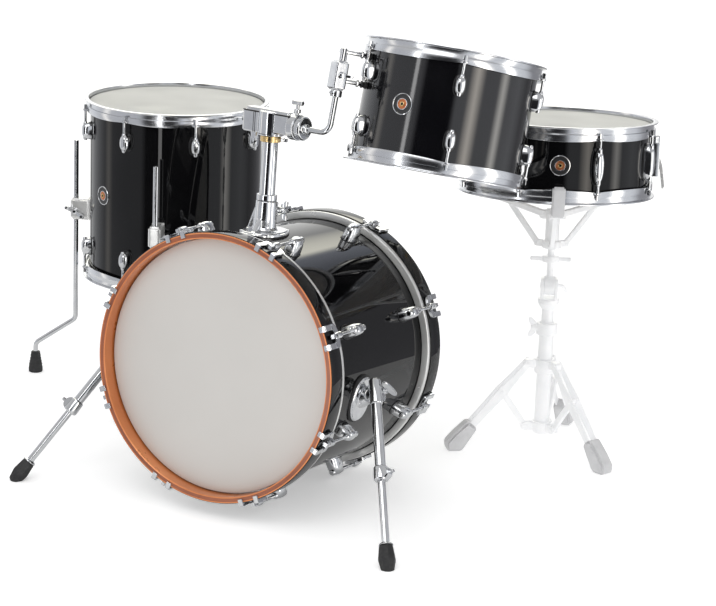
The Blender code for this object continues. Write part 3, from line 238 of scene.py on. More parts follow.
# Camera, from a fit to the photograph in the bass drum's own frame
CAMERA_PLACE = (2.1542, -3.6, 1.4998)
CAMERA_YAW, CAMERA_PITCH, CAMERA_ROLL = 0.5022, 0.2662, 0.037
CAMERA_LENS = 118.8


# Materials

def fill(tree, node, inputs):
    """Gives each input of a node a value, or a link from the output that is given for it."""
    for socket, value in inputs.items():
        if isinstance(value, bpy.types.NodeSocket):
            tree.links.new(value, node.inputs[socket])
        else:
            node.inputs[socket].default_value = value
    return node


def shader(tree, kind, inputs):
    """A new shader node of a kind, with its inputs filled."""
    return fill(tree, tree.nodes.new("ShaderNode" + kind), inputs)


def ramp(tree, share, stops):
    """The colour that a share from 0 to 1 picks from (position, colour) stops."""
    node = shader(tree, "ValToRGB", {"Fac": share})
    elements = node.color_ramp.elements
    while len(elements) < len(stops):
        elements.new(0.5)
    for element, (position, colour) in zip(elements, stops):
        element.position = position
        element.color = (*colour, 1)
    return node.outputs["Color"]


def textured(name, dark, light, roughness, metallic=0.0, blotch=18.0, grain=600.0, relief=0.0,
             stretch=(1, 1, 1), **sockets):
    """A Principled material: blotches between two colours, roughness from noise, and a fine relief."""
    made = bpy.data.materials.new(name)
    made.use_nodes = True
    tree = made.node_tree
    where = shader(tree, "TexCoord", {}).outputs["Object"]
    mapped = shader(tree, "Mapping", {"Scale": stretch, "Vector": where}).outputs["Vector"]

    def noise(scale, detail):
        node = shader(tree, "TexNoise", {"Scale": scale, "Detail": detail, "Vector": mapped})
        return node.outputs["Fac"]

    inputs = {socket.replace("_", " "): value for socket, value in sockets.items()}
    inputs["Metallic"] = metallic
    inputs["Base Color"] = ramp(tree, noise(blotch, 4), [(0.35, dark), (0.65, light)])
    rough = shader(tree, "MapRange", {"From Min": 0.3, "From Max": 0.7, "To Min": roughness[0],
                                      "To Max": roughness[1], "Value": noise(blotch * 2.7, 6)})
    inputs["Roughness"] = rough.outputs["Result"]
    if relief:
        bump = shader(tree, "Bump", {"Strength": 0.6, "Distance": relief, "Height": noise(grain, 3)})
        inputs["Normal"] = bump.outputs["Normal"]
    fill(tree, tree.nodes["Principled BSDF"], inputs)
    return made


# A look's slot, the two colours of its blotches, the range of its roughness, and what else it has
LOOKS = {
    "gloss_lacquer": ("black_lacquer", (0.0025, 0.0025, 0.003), (0.0045, 0.0045, 0.005), (0.3, 0.45), dict(
        blotch=9, grain=110, relief=6e-6, Specular_IOR_Level=0, Coat_Weight=1, Coat_Roughness=0.02,
        Coat_IOR=1.38)),
    "satin_lacquer": ("black_lacquer", (0.002, 0.002, 0.003), (0.004, 0.004, 0.005), (0.3, 0.45), dict(
        blotch=9, grain=110, relief=6e-6, Specular_IOR_Level=0, Coat_Weight=1, Coat_Roughness=0.085,
        Coat_IOR=1.66)),
    # Bright copper: the front hoop's own copper on its inner side, and a painted highlight on the thin rings
    # at its front bevels.
    "copper_and_bevel_highlight": ("black_lacquer", (0.62, 0.188, 0.053), (0.78, 0.28, 0.092), (0.26, 0.38), dict(
        metallic=0.35, blotch=7, grain=260, relief=4e-5, Coat_Weight=0.5, Coat_Roughness=0.12)),
    "edge_line": ("black_lacquer", (0.22, 0.056, 0.02), (0.31, 0.088, 0.033), (0.3, 0.45), dict(
        blotch=12, Coat_Weight=0.3, Coat_Roughness=0.15)),
    "chrome": ("chrome", (0.6, 0.61, 0.63), (0.68, 0.69, 0.7), (0.05, 0.12), dict(
        metallic=1, blotch=40, grain=500, relief=3e-6)),
    "hoop_chrome": ("chrome", (0.62, 0.63, 0.65), (0.68, 0.69, 0.71), (0.15, 0.21), dict(
        metallic=1, blotch=12, grain=500, relief=3e-6)),
    "cast_chrome": ("chrome", (0.62, 0.63, 0.65), (0.71, 0.72, 0.73), (0.07, 0.17), dict(
        metallic=1, blotch=60, grain=260, relief=6e-5)),
    "aluminium": ("chrome", (0.6, 0.6, 0.6), (0.72, 0.72, 0.71), (0.22, 0.36), dict(
        metallic=1, blotch=30, grain=700, relief=4e-5)),
    "satin_chrome": ("chrome", (0.72, 0.72, 0.71), (0.8, 0.8, 0.79), (0.2, 0.28), dict(
        metallic=0.55, blotch=14, grain=900, relief=6e-6)),
    "brass": ("chrome", (0.62, 0.44, 0.2), (0.75, 0.56, 0.29), (0.18, 0.32), dict(
        metallic=1, blotch=80, grain=900, relief=3e-5)),
    "badge_black": ("chrome", (0.008, 0.008, 0.009), (0.016, 0.016, 0.017), (0.3, 0.45), dict(
        blotch=90, grain=900, relief=2e-5)),
    "badge_copper": ("chrome", (0.42, 0.13, 0.05), (0.6, 0.22, 0.09), (0.25, 0.4), dict(
        metallic=0.8, blotch=160, grain=900, relief=4e-5)),
    # The stand's pale metal also has a faint white emission of its own: a painted glow, for the stand is no
    # lamp.
    "pale_metal_painted_glow": ("satin_metal", (0.84, 0.85, 0.86), (0.91, 0.91, 0.92), (0.28, 0.42), dict(
        metallic=0.05, blotch=30, grain=800, relief=2e-5, Emission_Color=(1, 1, 1, 1),
        Emission_Strength=0.1)),
    "pale_rubber": ("satin_metal", (0.6, 0.6, 0.61), (0.67, 0.67, 0.68), (0.55, 0.75), dict(
        blotch=40, grain=700, relief=1.2e-4)),
    "black_rubber": ("black_rubber", (0.01, 0.01, 0.011), (0.02, 0.02, 0.021), (0.45, 0.7), dict(
        blotch=70, grain=700, relief=1.2e-4)),
    "black_nylon": ("chrome", (0.01, 0.01, 0.011), (0.018, 0.018, 0.019), (0.35, 0.5), dict(
        blotch=90, grain=900, relief=4e-5)),
    "front_film": ("front_film", (0.53, 0.516, 0.493), (0.555, 0.54, 0.517), (0.34, 0.46), dict(
        blotch=3.5, grain=1100, relief=3e-5, Coat_Weight=0.15, Coat_Roughness=0.2)),
    "coated_film": ("coated_film", (0.565, 0.565, 0.533), (0.615, 0.615, 0.585), (0.52, 0.7), dict(
        blotch=5, grain=1600, relief=1e-4)),
    "clear_film": ("clear_film", (0.6, 0.61, 0.6), (0.66, 0.66, 0.65), (0.1, 0.2), dict(
        blotch=6, grain=900, relief=1e-5, Alpha=0.38)),
    "shell_wood": ("black_lacquer", (0.4, 0.245, 0.12), (0.56, 0.365, 0.195), (0.3, 0.48), dict(
        blotch=22, grain=420, relief=8e-5, stretch=(1, 1, 0.16), Coat_Weight=0.3, Coat_Roughness=0.2)),
    "steel_wire": ("steel_wire", (0.55, 0.55, 0.55), (0.68, 0.68, 0.68), (0.22, 0.36), dict(
        metallic=1, blotch=80, grain=1500, relief=5e-5)),
}
MATERIALS = {name: (textured(name, dark, light, roughness, **rest), slot)
             for name, (slot, dark, light, roughness, rest) in LOOKS.items()}


# Shapes

def place(location=(0, 0, 0), turn=(0, 0, 0)):
    """A frame at a location, turned about X, Y and Z in that order."""
    return Matrix.Translation(location) @ Euler(turn).to_matrix().to_4x4()


def place_out(radius, height, turn, twist=0.0):
    """A place out from the axis at a turn round it, facing outward and then twisted."""
    return place((radius * cos(turn), radius * sin(turn), height), (0, 0, turn + twist))


def about_z(angle):
    return Matrix.Rotation(angle, 4, "Z")


def skinned(shape, rings, closed=False):
    """Faces from ring to ring, which close on themselves or get a cap at each end."""
    count = len(rings[0])
    for low, high in zip(rings, rings[1:] + (rings[:1] if closed else [])):
        for i in range(count):
            j = (i + 1) % count
            corners = list(dict.fromkeys((low[i], low[j], high[j], high[i])))
            if len(corners) > 2:
                shape.faces.new(corners)
    if not closed:
        shape.faces.new(rings[0])
        shape.faces.new(rings[-1])
    bmesh.ops.recalc_face_normals(shape, faces=shape.faces)
    return shape


def ring_body(outline_at, angles):
    """A body round Z. outline_at(angle) is its closed outline there, as (radius, height) points."""
    shape = bmesh.new()
    outlines = [outline_at(angle) for angle in angles]
    rings = []
    for k, (radius, height) in enumerate(outlines[0]):
        if radius == 0:
            rings.append([shape.verts.new((0, 0, height))] * len(angles))
        else:
            rings.append([shape.verts.new((o[k][0] * cos(a), o[k][0] * sin(a), o[k][1]))
                          for a, o in zip(angles, outlines)])
    return skinned(shape, rings, closed=True)


def soft(outline, radius, steps=3):
    """A closed outline with its corners rounded; corners on the axis of a lathe stay sharp."""
    made = []
    for i, corner in enumerate(outline):
        corner = Vector(corner)
        before, after = Vector(outline[i - 1]), Vector(outline[(i + 1) % len(outline)])
        into, out = corner - before, after - corner
        reach = min(radius, into.length * 0.45, out.length * 0.45)
        if corner.x == 0 or reach < 1e-6 or into.angle(out, 0) < 0.1:
            made.append(tuple(corner))
            continue
        start, end = corner - into.normalized() * reach, corner + out.normalized() * reach
        for k in range(steps + 1):
            t = k / steps
            made.append(tuple(start * (1 - t) ** 2 + corner * 2 * t * (1 - t) + end * t ** 2))
    return made


def lathe(outline, sides=96, round_off=0.0):
    outline = soft(outline, round_off) if round_off else outline
    return ring_body(lambda angle: outline, [tau * i / sides for i in range(sides)])


def spindle(profile, sides, round_off=0.0):
    """A lathed body that is solid to its axis, on the (radius, height) points of its outside."""
    return lathe([(0, profile[0][1]), *profile, (0, profile[-1][1])], sides, round_off)


def cylinder(radius, low, high, sides=32, round_off=0.0006):
    return spindle([(radius, low), (radius, high)], sides, round_off)


def tube(outer, inner, low, high, sides=96, round_off=0.0006):
    return lathe([(inner, low), (outer, low), (outer, high), (inner, high)], sides, round_off)


def prism(outline, low, high, edge=0.0006):
    """A body on an outline of (x, y) points between two heights, with its edges rounded."""
    shape = bmesh.new()
    floor = [shape.verts.new((x, y, low)) for x, y in outline]
    roof = [shape.verts.new((x, y, high)) for x, y in outline]
    rims = [shape.faces.new(floor), shape.faces.new(roof)]
    for i in range(len(outline)):
        j = (i + 1) % len(outline)
        shape.faces.new((floor[i], floor[j], roof[j], roof[i]))
    bmesh.ops.recalc_face_normals(shape, faces=shape.faces)
    if edge:
        rim = list({e for face in rims for e in face.edges})
        bmesh.ops.bevel(shape, geom=rim, offset=edge, segments=2, affect="EDGES", clamp_overlap=True)
    return shape


def slab(outline, half, edge=0.0006):
    """A prism with its outline in the X-Z plane, half its thickness each side of Y = 0."""
    return along_y(prism([(x, -z) for x, z in outline], -half, half, edge))


def pair(outline, half, edge, aside):
    """Two equal slabs, one each side of the plane y = 0."""
    return both_sides(lambda side: shifted(slab(outline, half, edge), y=side * aside))


def rectangle(x0, y0, x1, y1):
    return [(x0, y0), (x1, y0), (x1, y1), (x0, y1)]


def mirrored(points):
    """The points, and their images across the first axis in the opposite order."""
    return [*points, *((x, -y) for x, y in reversed(points))]


def box(low, high, corner, edge):
    return prism(soft(rectangle(*low[:2], *high[:2]), corner), low[2], high[2], edge)


def centred_box(x0, x1, half, z0, z1, corner, edge):
    """A box that reaches half its width to each side of the plane y = 0."""
    return box((x0, -half, z0), (x1, half, z1), corner, edge)


def bar(points, radius, sides=20, tips=0.0012):
    """A round bar through the points, its sides carried round without twist, with rounded ends."""
    points = [Vector(p) for p in points]
    first, last = (points[1] - points[0]).normalized(), (points[-1] - points[-2]).normalized()
    radii = [radius] * len(points)
    if tips:
        points = [points[0], points[0] + first * tips, *points[1:-1], points[-1] - last * tips, points[-1]]
        radii = [radius * BAR_TIP, *[radius] * (len(points) - 2), radius * BAR_TIP]
    ways = [(b - a).normalized() for a, b in zip(points, points[1:])]
    shape = bmesh.new()
    across = ways[0].orthogonal().normalized()
    rings = []
    for i, point in enumerate(points):
        way = (ways[max(i - 1, 0)] + ways[min(i, len(ways) - 1)]).normalized()
        across = (across - way * across.dot(way)).normalized()
        side = way.cross(across)
        rings.append([
            shape.verts.new(point + (across * cos(tau * k / sides) + side * sin(tau * k / sides)) * radii[i])
            for k in range(sides)])
    return skinned(shape, rings)


def rounded(corners, radius, steps=10):
    """The corners' path in space with each inner corner turned on an arc."""
    corners = [Vector(c) for c in corners]
    path = [corners[0]]
    for before, corner, after in zip(corners, corners[1:], corners[2:]):
        into, out = (corner - before).normalized(), (after - corner).normalized()
        turn = into.angle(out)
        start = corner - into * radius * sin(turn / 2) / cos(turn / 2)
        inward = (out - into * out.dot(into)).normalized()
        for i in range(steps + 1):
            swept = turn * i / steps
            path.append(start + into * radius * sin(swept) + inward * radius * (1 - cos(swept)))
    path.append(corners[-1])
    return path


def oval(half_width, half_length, sides=48, power=2.0):
    made = []
    for i in range(sides):
        x, y = cos(tau * i / sides), sin(tau * i / sides)
        made.append((half_width * abs(x) ** (2 / power) * (1 if x > 0 else -1),
                     half_length * abs(y) ** (2 / power) * (1 if y > 0 else -1)))
    return made


def turned(shape, matrix):
    shape.transform(matrix)
    if matrix.determinant() < 0:
        bmesh.ops.reverse_faces(shape, faces=shape.faces)
    return shape


def shifted(shape, x=0.0, y=0.0, z=0.0):
    return turned(shape, Matrix.Translation((x, y, z)))


def along_x(shape):
    return turned(shape, Matrix.Rotation(pi / 2, 4, "Y"))


def along_y(shape):
    return turned(shape, Matrix.Rotation(-pi / 2, 4, "X"))


def joined(shapes):
    """One shape that holds several, each still its own closed body."""
    whole = bmesh.new()
    for shape in shapes:
        carrier = bpy.data.meshes.new("carrier")
        shape.to_mesh(carrier)
        shape.free()
        whole.from_mesh(carrier)
        bpy.data.meshes.remove(carrier)
    return whole


def round_z(make, angles):
    return joined([turned(make(), about_z(angle)) for angle in angles])


def both_sides(make):
    return joined([make(side) for side in (-1, 1)])


def toothed(low, high, corner, count, axis):
    """Equal small blocks round an axis."""
    return joined([turned(box(low, high, corner, corner), Matrix.Rotation(tau * i / count, 4, axis))
                   for i in range(count)])


def mesh_of(shape, name):
    mesh = bpy.data.meshes.new(name)
    shape.to_mesh(mesh)
    shape.free()
    return mesh


def linked(name, data):
    made = bpy.data.objects.new(name, data)
    bpy.context.scene.collection.objects.link(made)
    return made


def cast(shapes, cutters, grid=0.0009, smooth=8):
    """One casting from overlapping shapes, its inner corners filleted, then its bores cut."""
    body = linked("casting", mesh_of(joined(shapes), "casting"))
    remesh = body.modifiers.new("remesh", "REMESH")
    remesh.mode = "VOXEL"
    remesh.voxel_size = grid
    relax = body.modifiers.new("relax", "SMOOTH")
    relax.factor = 0.5
    relax.iterations = smooth
    tools = []
    for cutter in cutters:
        tools.append(linked("cutter", mesh_of(cutter, "cutter")))
        cut = body.modifiers.new("cut", "BOOLEAN")
        cut.operation = "DIFFERENCE"
        cut.object = tools[-1]
    bpy.context.view_layer.update()
    made = bmesh.new()
    made.from_object(body, bpy.context.evaluated_depsgraph_get())
    for helper in (body, *tools):
        bpy.data.objects.remove(helper, do_unlink=True)
    return made


def piece(name, shape, where, body, material, *nodes):
    """A shown piece: its shape at a place in the row frame, riding on a body, standing for CAD nodes."""
    shape.transform(where)
    mesh = mesh_of(shape, name)
    look, slot = MATERIALS[material]
    mesh.materials.append(look)
    mesh.shade_smooth()
    mesh.set_sharp_from_angle(angle=CREASE)
    made = linked(name, mesh)
    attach(made, body)
    if nodes:
        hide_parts(*nodes)


def stand_in(name, shape, where, body, material):
    """A piece that stands for the CAD node of its own name."""
    piece(name, shape, where, body, material, name)


# Frames of the groups, in the row frame, and the open stand leg's slope and length

BASS_EDGE = BASS_DEPTH / 2
HOOP_BACK = BASS_EDGE - BASS_FLESH_WIDTH + GAP
HOOP_FRONT = HOOP_BACK + BASS_HOOP_WIDTH
REST_EDGE = HOOP_FRONT - 0.002
floor_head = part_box("floor_tom_top_head")
floor_at = (floor_head[0] + floor_head[1]) / 2
KIT = place((floor_at.x - FLOOR_PLACE[0], floor_at.y - FLOOR_PLACE[1], 0))
BASS = KIT @ place((0, 0, BASS_HOOP_RADIUS * cos(BASS_TILT) + REST_EDGE * sin(BASS_TILT)),
                   (pi / 2 - BASS_TILT, 0, 0))
MOUNT = BASS @ place((0, BASS_RADIUS, MOUNT_PLACE), (-pi / 2, 0, 0))
HOLDER = MOUNT @ place((0, 0, ARM_HEIGHT), (0, 0, HOLDER_TURN))
ARM = HOLDER @ place(turn=(ARM_TILT, 0, 0))
HANG = ARM @ place((ARM_REACH, 0, TOM_HANG))
TOM_AWAY = TOM_RADIUS + TOM_STANDOFF
TOM_MIDDLE = TOM_TOP_RISE - HOOP_RISE - TOM_DEPTH / 2 - TOM_HANG
TOM = HANG @ place((TOM_AWAY * cos(TOM_SIDE), TOM_AWAY * sin(TOM_SIDE), TOM_MIDDLE))
FLOOR_MIDDLE = FLOOR_TOP - HOOP_RISE - FLOOR_DEPTH / 2
FLOOR = KIT @ place((*FLOOR_PLACE, FLOOR_MIDDLE))
STAND = KIT @ place((*STAND_PLACE, 0), (0, 0, STAND_TURN))
BASKET = (STAND @ place((0, 0, TILTER_HEIGHT)) @ about_z(BASKET_AZIMUTH - STAND_TURN)
          @ place(turn=(0, BASKET_TILT, 0)))
SNARE = BASKET @ place((0, 0, BASKET_SEAT + GAP + HOOP_RISE + SNARE_DEPTH / 2))
OVER = place(turn=(pi, 0, 0))
LEG_RUN, LEG_FALL = STAND_FOOT[0] - LEG_PIVOT[0], STAND_FOOT[1] - LEG_PIVOT[1]
LEG_LENGTH = hypot(LEG_RUN, LEG_FALL)
LEG_OUT, LEG_DOWN = LEG_RUN / LEG_LENGTH, LEG_FALL / LEG_LENGTH


# Hardware shared by the drums

def dome(length, width, height, power=2.5, sides=40, steps=9):
    """A bullet-shaped shell on the plane x = 0: an oval that swells and closes at its height."""
    shape = bmesh.new()
    rings = []
    for k in range(steps):
        rise = k / (steps - 1) * pi / 2
        share = cos(rise * 0.985) ** 0.5
        rings.append([shape.verts.new((height * sin(rise), y * share, z * share))
                      for y, z in oval(width / 2, length / 2, sides, power)])
    return skinned(shape, rings)


def lug(length, width, height, rise, rod):
    """A bullet lug: its dome, and the swivel nut whose ends stand out of it along Z."""
    half = length / 2
    nut = spindle(mirrored([(rod * 1.25, -half - 0.001), (rod * 1.75, -half + 0.003)]), 24, 0.0006)
    return joined([dome(length, width, height), shifted(nut, rise)])


def gasket(length, width, thickness=0.0009):
    """The thin black pad between a lug and the shell."""
    return along_x(prism(oval(length / 2 + 0.0012, width / 2 + 0.0012, 40, 2.5), -0.001, thickness, 0.0003))


def lug_rows(name, where, body, radius, size, rise, rod, places, angles):
    """A shell's lugs at their places along it, and their gaskets."""
    def lugs():
        return joined([shifted(lug(*size, rise, rod), radius, 0, z) for z in places])

    def gaskets():
        return joined([shifted(gasket(*size[:2]), radius, 0, z) for z in places])

    piece(f"{name}_lugs", round_z(lugs, angles), where, body, "chrome")
    piece(f"{name}_gaskets", round_z(gaskets, angles), where, body, "black_rubber")


def shell(name, where, body, lacquer, radius, wall, edge, slope, crest, brink, sides):
    """A shell with its bearing edges: an inner slope up to the crest, and a rounded outer brink."""
    inner = radius - wall
    outline = mirrored([(inner + GAP, -edge + slope), (radius - crest, -edge), (radius, -edge + brink)])
    stand_in(f"{name}_shell", lathe(outline, sides[0]), where, body, lacquer)
    lining = tube(inner + GAP, inner, -edge + slope, edge - slope, sides[1], 0)
    piece(f"{name}_lining", lining, where, body, "shell_wood")


def key_head(size, low, high):
    """A square drum-key head on a round flange."""
    half = size / 2
    flange = cylinder(size * 0.78, low - 0.0014, low, 24, 0.0004)
    return joined([centred_box(-half, half, half, low - 0.0005, high, 0.0008, 0.0007), flange])


def threaded(radius, low, high, pitch):
    """A threaded end of a rod between two heights."""
    profile = []
    for k in range(max(int((high - low) / pitch), 1)):
        z = low + k * pitch
        profile += [(radius * THREAD_ROOT, z), (radius, z + pitch / 2)]
    return spindle([*profile, (radius * THREAD_ROOT, high)], 16)


def key_rod(radius, low, high, top, pitch, key):
    """A key rod: its thread from low to high, its shank up to the top, and its head as for key_head."""
    return joined([cylinder(radius, high, top, 20), threaded(radius, low, high, pitch), key_head(*key)])


def metal_hoop(name, where, body, radius, depth, angles, lug_end):
    """A triple-flanged hoop with ears, its key rods, and the nylon washers under their heads."""
    edge = depth / 2
    inner = radius + HOOP_WALL_IN
    over_flesh = radius + FLESH_OUT + GAP
    skirt = over_flesh + HOOP_SHEET
    shelf = GAP - FLESH_TOP
    lip = HOOP_RISE - HOOP_SHEET

    def outline_at(angle):
        swing = abs(sin(len(angles) * (angle - angles[0]) / 2)) ** 0.7
        low = -SKIRT_AT_EAR - SCALLOP * swing
        points = [(inner, HOOP_RISE), (radius + HOOP_LIP, HOOP_RISE), (radius + HOOP_LIP, lip),
                  (inner + HOOP_SHEET + 0.0012, lip), (inner + HOOP_SHEET, lip - 0.0015),
                  (inner + HOOP_SHEET, shelf + HOOP_SHEET), (skirt, shelf + HOOP_SHEET), (skirt, low),
                  (over_flesh, low), (over_flesh, shelf), (inner, shelf)]
        return soft([(r, edge + z) for r, z in points], 0.0011, 2)

    hoop = ring_body(outline_at, [tau * i / HOOP_SIDES for i in range(HOOP_SIDES)])
    ear_low = edge - SKIRT_AT_EAR
    axis = radius + ROD_RISE

    def ear():
        reach, half = radius + EAR_REACH, EAR_WIDTH / 2
        outline = soft(mirrored([(skirt - 0.003, -half), (axis, -half), (reach, -half * 0.55)]), 0.003, 4)
        web = slab([(skirt - 0.002, ear_low + 0.001), (reach - 0.004, ear_low + 0.001),
                    (skirt - 0.002, ear_low + 0.008)], 0.0011, 0.0004)
        return joined([prism(outline, ear_low, ear_low + HOOP_SHEET), shifted(web, y=half - 0.0018)])

    def rod():
        key = (ROD_HEAD, ear_low + 0.0042, edge - 0.001)
        return shifted(key_rod(ROD_RADIUS, lug_end, ear_low - ROD_THREAD_BELOW, ear_low + 0.004, 0.0009, key),
                       axis)

    def washer():
        return shifted(cylinder(0.0048, ear_low + HOOP_SHEET, ear_low + 0.0036, 24, 0.0003), axis)

    stand_in(f"{name}_hoop", joined([hoop, round_z(ear, angles)]), where, body, "hoop_chrome")
    piece(f"{name}_rods", round_z(rod, angles), where, body, "chrome")
    piece(f"{name}_washers", round_z(washer, angles), where, body, "black_nylon")


def head(name, where, body, radius, depth, material):
    """A head: the film with its crown and collar, and the flesh hoop."""
    edge = depth / 2
    top, low = edge + GAP + HEAD_FILM, edge - FLESH_TOP
    film = [(radius - 0.006, top), (radius - 0.0015, top - 0.0002),
            (radius + HEAD_COLLAR * 0.7, top - 0.0008), (radius + HEAD_COLLAR, top - 0.0022),
            (radius + HEAD_COLLAR, low), (radius + FLESH_OUT - 0.001, low - 0.0006),
            (radius + GAP, low - 0.001), (radius + GAP, edge + GAP)]
    stand_in(f"{name}_head", spindle(film, HEAD_SIDES), where, body, material)
    ring = tube(radius + FLESH_OUT, radius + HEAD_COLLAR + GAP, low - FLESH_HEIGHT, low - 0.0002, HEAD_SIDES,
                0.001)
    piece(f"{name}_flesh_hoop", ring, where, body, "aluminium")


def badge(name, where, body):
    """A plain grommet badge: a chrome rim, a black band and a copper centre, with nothing written."""
    rim = lathe([(0.0172, 0), (BADGE_RADIUS, 0), (BADGE_RADIUS - 0.0006, 0.001), (0.0182, 0.0012),
                 (0.0176, 0.0008)], 64)
    for part, shape, material in (
            ("rim", joined([rim, tube(0.0102, 0.0088, 0, 0.0011, 48, 0.0003)]), "chrome"),
            ("band", tube(0.018, 0.0095, -0.001, 0.0006, 64, 0.0002), "badge_black"),
            ("centre", tube(0.009, 0.004, -0.001, 0.0008, 48, 0.0003), "badge_copper"),
            ("eyelet", tube(0.0042, 0.0024, 0, 0.0018, 32, 0.0005), "brass")):
        piece(f"{name}_badge_{part}", shape, where @ Matrix.Rotation(pi / 2, 4, "Y"), body, material)


def small_drum(name, where, body, radius, depth, angles, lug_length, lug_places, badge_angle, lacquer):
    """A drum with metal hoops: its shell and lugs, a badge, and a head and a hoop at each end."""
    shell(name, where, body, lacquer, radius, SHELL_WALL, depth / 2, 0.003, 0.0028, 0.0015, (192, 128))
    lug_rows(name, where, body, radius, (lug_length, LUG_WIDTH, LUG_HEIGHT), ROD_RISE, ROD_RADIUS, lug_places,
             angles)
    badge(name, where @ about_z(badge_angle) @ place((radius, 0, 0)), body)
    lug_end = max(lug_places) + lug_length / 2
    over, below = where @ OVER, [-angle for angle in angles]
    head(f"{name}_top", where, body, radius, depth, "coated_film")
    head(f"{name}_bottom", over, body, radius, depth, "clear_film")
    metal_hoop(f"{name}_top", where, body, radius, depth, angles, lug_end)
    metal_hoop(f"{name}_bottom", over, body, radius, depth, below, lug_end)


def wing_nut(stem, reach, span, thickness=0.0022):
    """A wing nut along +Z: a waisted hub and two leaf-shaped wings."""
    hub = spindle([(stem * 2.1, reach - 0.004), (stem * 1.7, reach + 0.003), (stem * 1.5, reach + 0.009)], 28,
                  0.0012)
    half = span / 2
    leaf = soft([(0, reach + 0.001), (half * 0.55, reach - 0.001), (half, reach + 0.008),
                 (half * 0.98, reach + 0.014), (half * 0.6, reach + 0.0135), (0.0, reach + 0.007)], 0.003, 4)
    return joined([hub, *[turned(slab(leaf, thickness, 0.0009), about_z(turn)) for turn in (0, pi)]])


# Bass drum

def bass_drum():
    angles = [tau * (i + 0.5) / BASS_LUGS for i in range(BASS_LUGS)]
    shell("bass", BASS, "kit", "gloss_lacquer", BASS_RADIUS, BASS_WALL, BASS_EDGE, 0.004, 0.003, 0.002,
          (BASS_SIDES, 160))
    lug_rows("bass", BASS, "kit", BASS_RADIUS, BASS_LUG, BASS_ROD_RISE, BASS_ROD_RADIUS,
             (-BASS_LUG_PLACE, BASS_LUG_PLACE), angles)
    top = BASS_EDGE + GAP + HEAD_FILM
    film_out = BASS_HOOP_RADIUS - BASS_HOOP_WALL - 0.002
    flesh_front = HOOP_BACK - GAP
    crown = [(BASS_RADIUS - 0.008, top), (BASS_RADIUS - 0.002, top - 0.0003),
             (film_out - 0.0006, top - 0.0012), (film_out, top - 0.003), (film_out, flesh_front),
             (BASS_RADIUS + GAP, flesh_front), (BASS_RADIUS + GAP, BASS_EDGE + GAP)]
    for side, turn, film, trim in (("front", Matrix.Identity(4), "front_film", "copper_and_bevel_highlight"),
                                   ("rear", OVER, "coated_film", "gloss_lacquer")):
        where = BASS @ turn
        stand_in(f"bass_{side}_head", spindle(crown, BASS_SIDES), where, "kit", film)
        channel = tube(BASS_HOOP_RADIUS - 0.0016, BASS_RADIUS + GAP, flesh_front - BASS_FLESH_WIDTH,
                       flesh_front - 0.0001, BASS_SIDES, 0.0022)
        piece(f"bass_{side}_flesh_hoop", channel, where, "kit", "satin_chrome")
        bass_hoop(side, where, angles, trim)


def bass_hoop(side, where, angles, trim):
    """A wooden hoop: gloss black outside, its front face and lip in the trim, and its claws and rods. On the
    front hoop the thin bevel rings in bright copper are painted highlights.
    """
    outer, inner = BASS_HOOP_RADIUS, BASS_HOOP_RADIUS - BASS_HOOP_WALL
    face_back = HOOP_FRONT - INLAY
    outside = [(inner + INLAY, HOOP_BACK), (outer, HOOP_BACK), (outer, REST_EDGE),
               (outer - 0.0008, HOOP_FRONT - 0.0012), (outer - 0.0024, face_back), (inner + INLAY, face_back)]
    stand_in(f"bass_{side}_hoop", lathe(outside, BASS_SIDES, 0.0007), where, "kit", "gloss_lacquer")
    # The face ring at the outer bevel and the lip's front edge rise to the front and take the trim. On the
    # front hoop their bright copper is a painted highlight, and the wide recessed line between them is the
    # face's own darker copper-brown.
    line_out, line_in = outer - 0.0034, inner + 0.0022
    face = [(line_out, face_back), (outer - 0.002, face_back), (outer - 0.001, HOOP_FRONT - 0.001),
            (outer - 0.0018, HOOP_FRONT), (line_out, HOOP_FRONT)]
    lip = [(inner, HOOP_BACK), (inner + INLAY, HOOP_BACK), (inner + INLAY, face_back), (line_in, face_back),
           (line_in, HOOP_FRONT), (inner + 0.001, HOOP_FRONT), (inner, HOOP_FRONT - 0.001)]
    faces = joined([lathe(outline, BASS_SIDES, 0.0004) for outline in (face, lip)])
    piece(f"bass_{side}_hoop_face", faces, where, "kit", trim)
    line = tube(line_out, line_in, face_back, HOOP_FRONT - 0.0003, BASS_SIDES, 0)
    piece(f"bass_{side}_hoop_line", line, where, "kit", "edge_line" if trim == "copper_and_bevel_highlight" else trim)
    piece(f"bass_{side}_claws", round_z(claw, angles), where, "kit", "cast_chrome")
    lug_end = BASS_LUG_PLACE + BASS_LUG[0] / 2
    top = HOOP_BACK + 0.017

    def rod():
        key = (0.0074, top + 0.0026, top + 0.011)
        return shifted(key_rod(BASS_ROD_RADIUS * 0.85, lug_end, lug_end + 0.014, top + 0.003, 0.0011, key),
                       BASS_RADIUS + BASS_ROD_RISE)

    piece(f"bass_{side}_rods", round_z(rod, angles), where, "kit", "chrome")


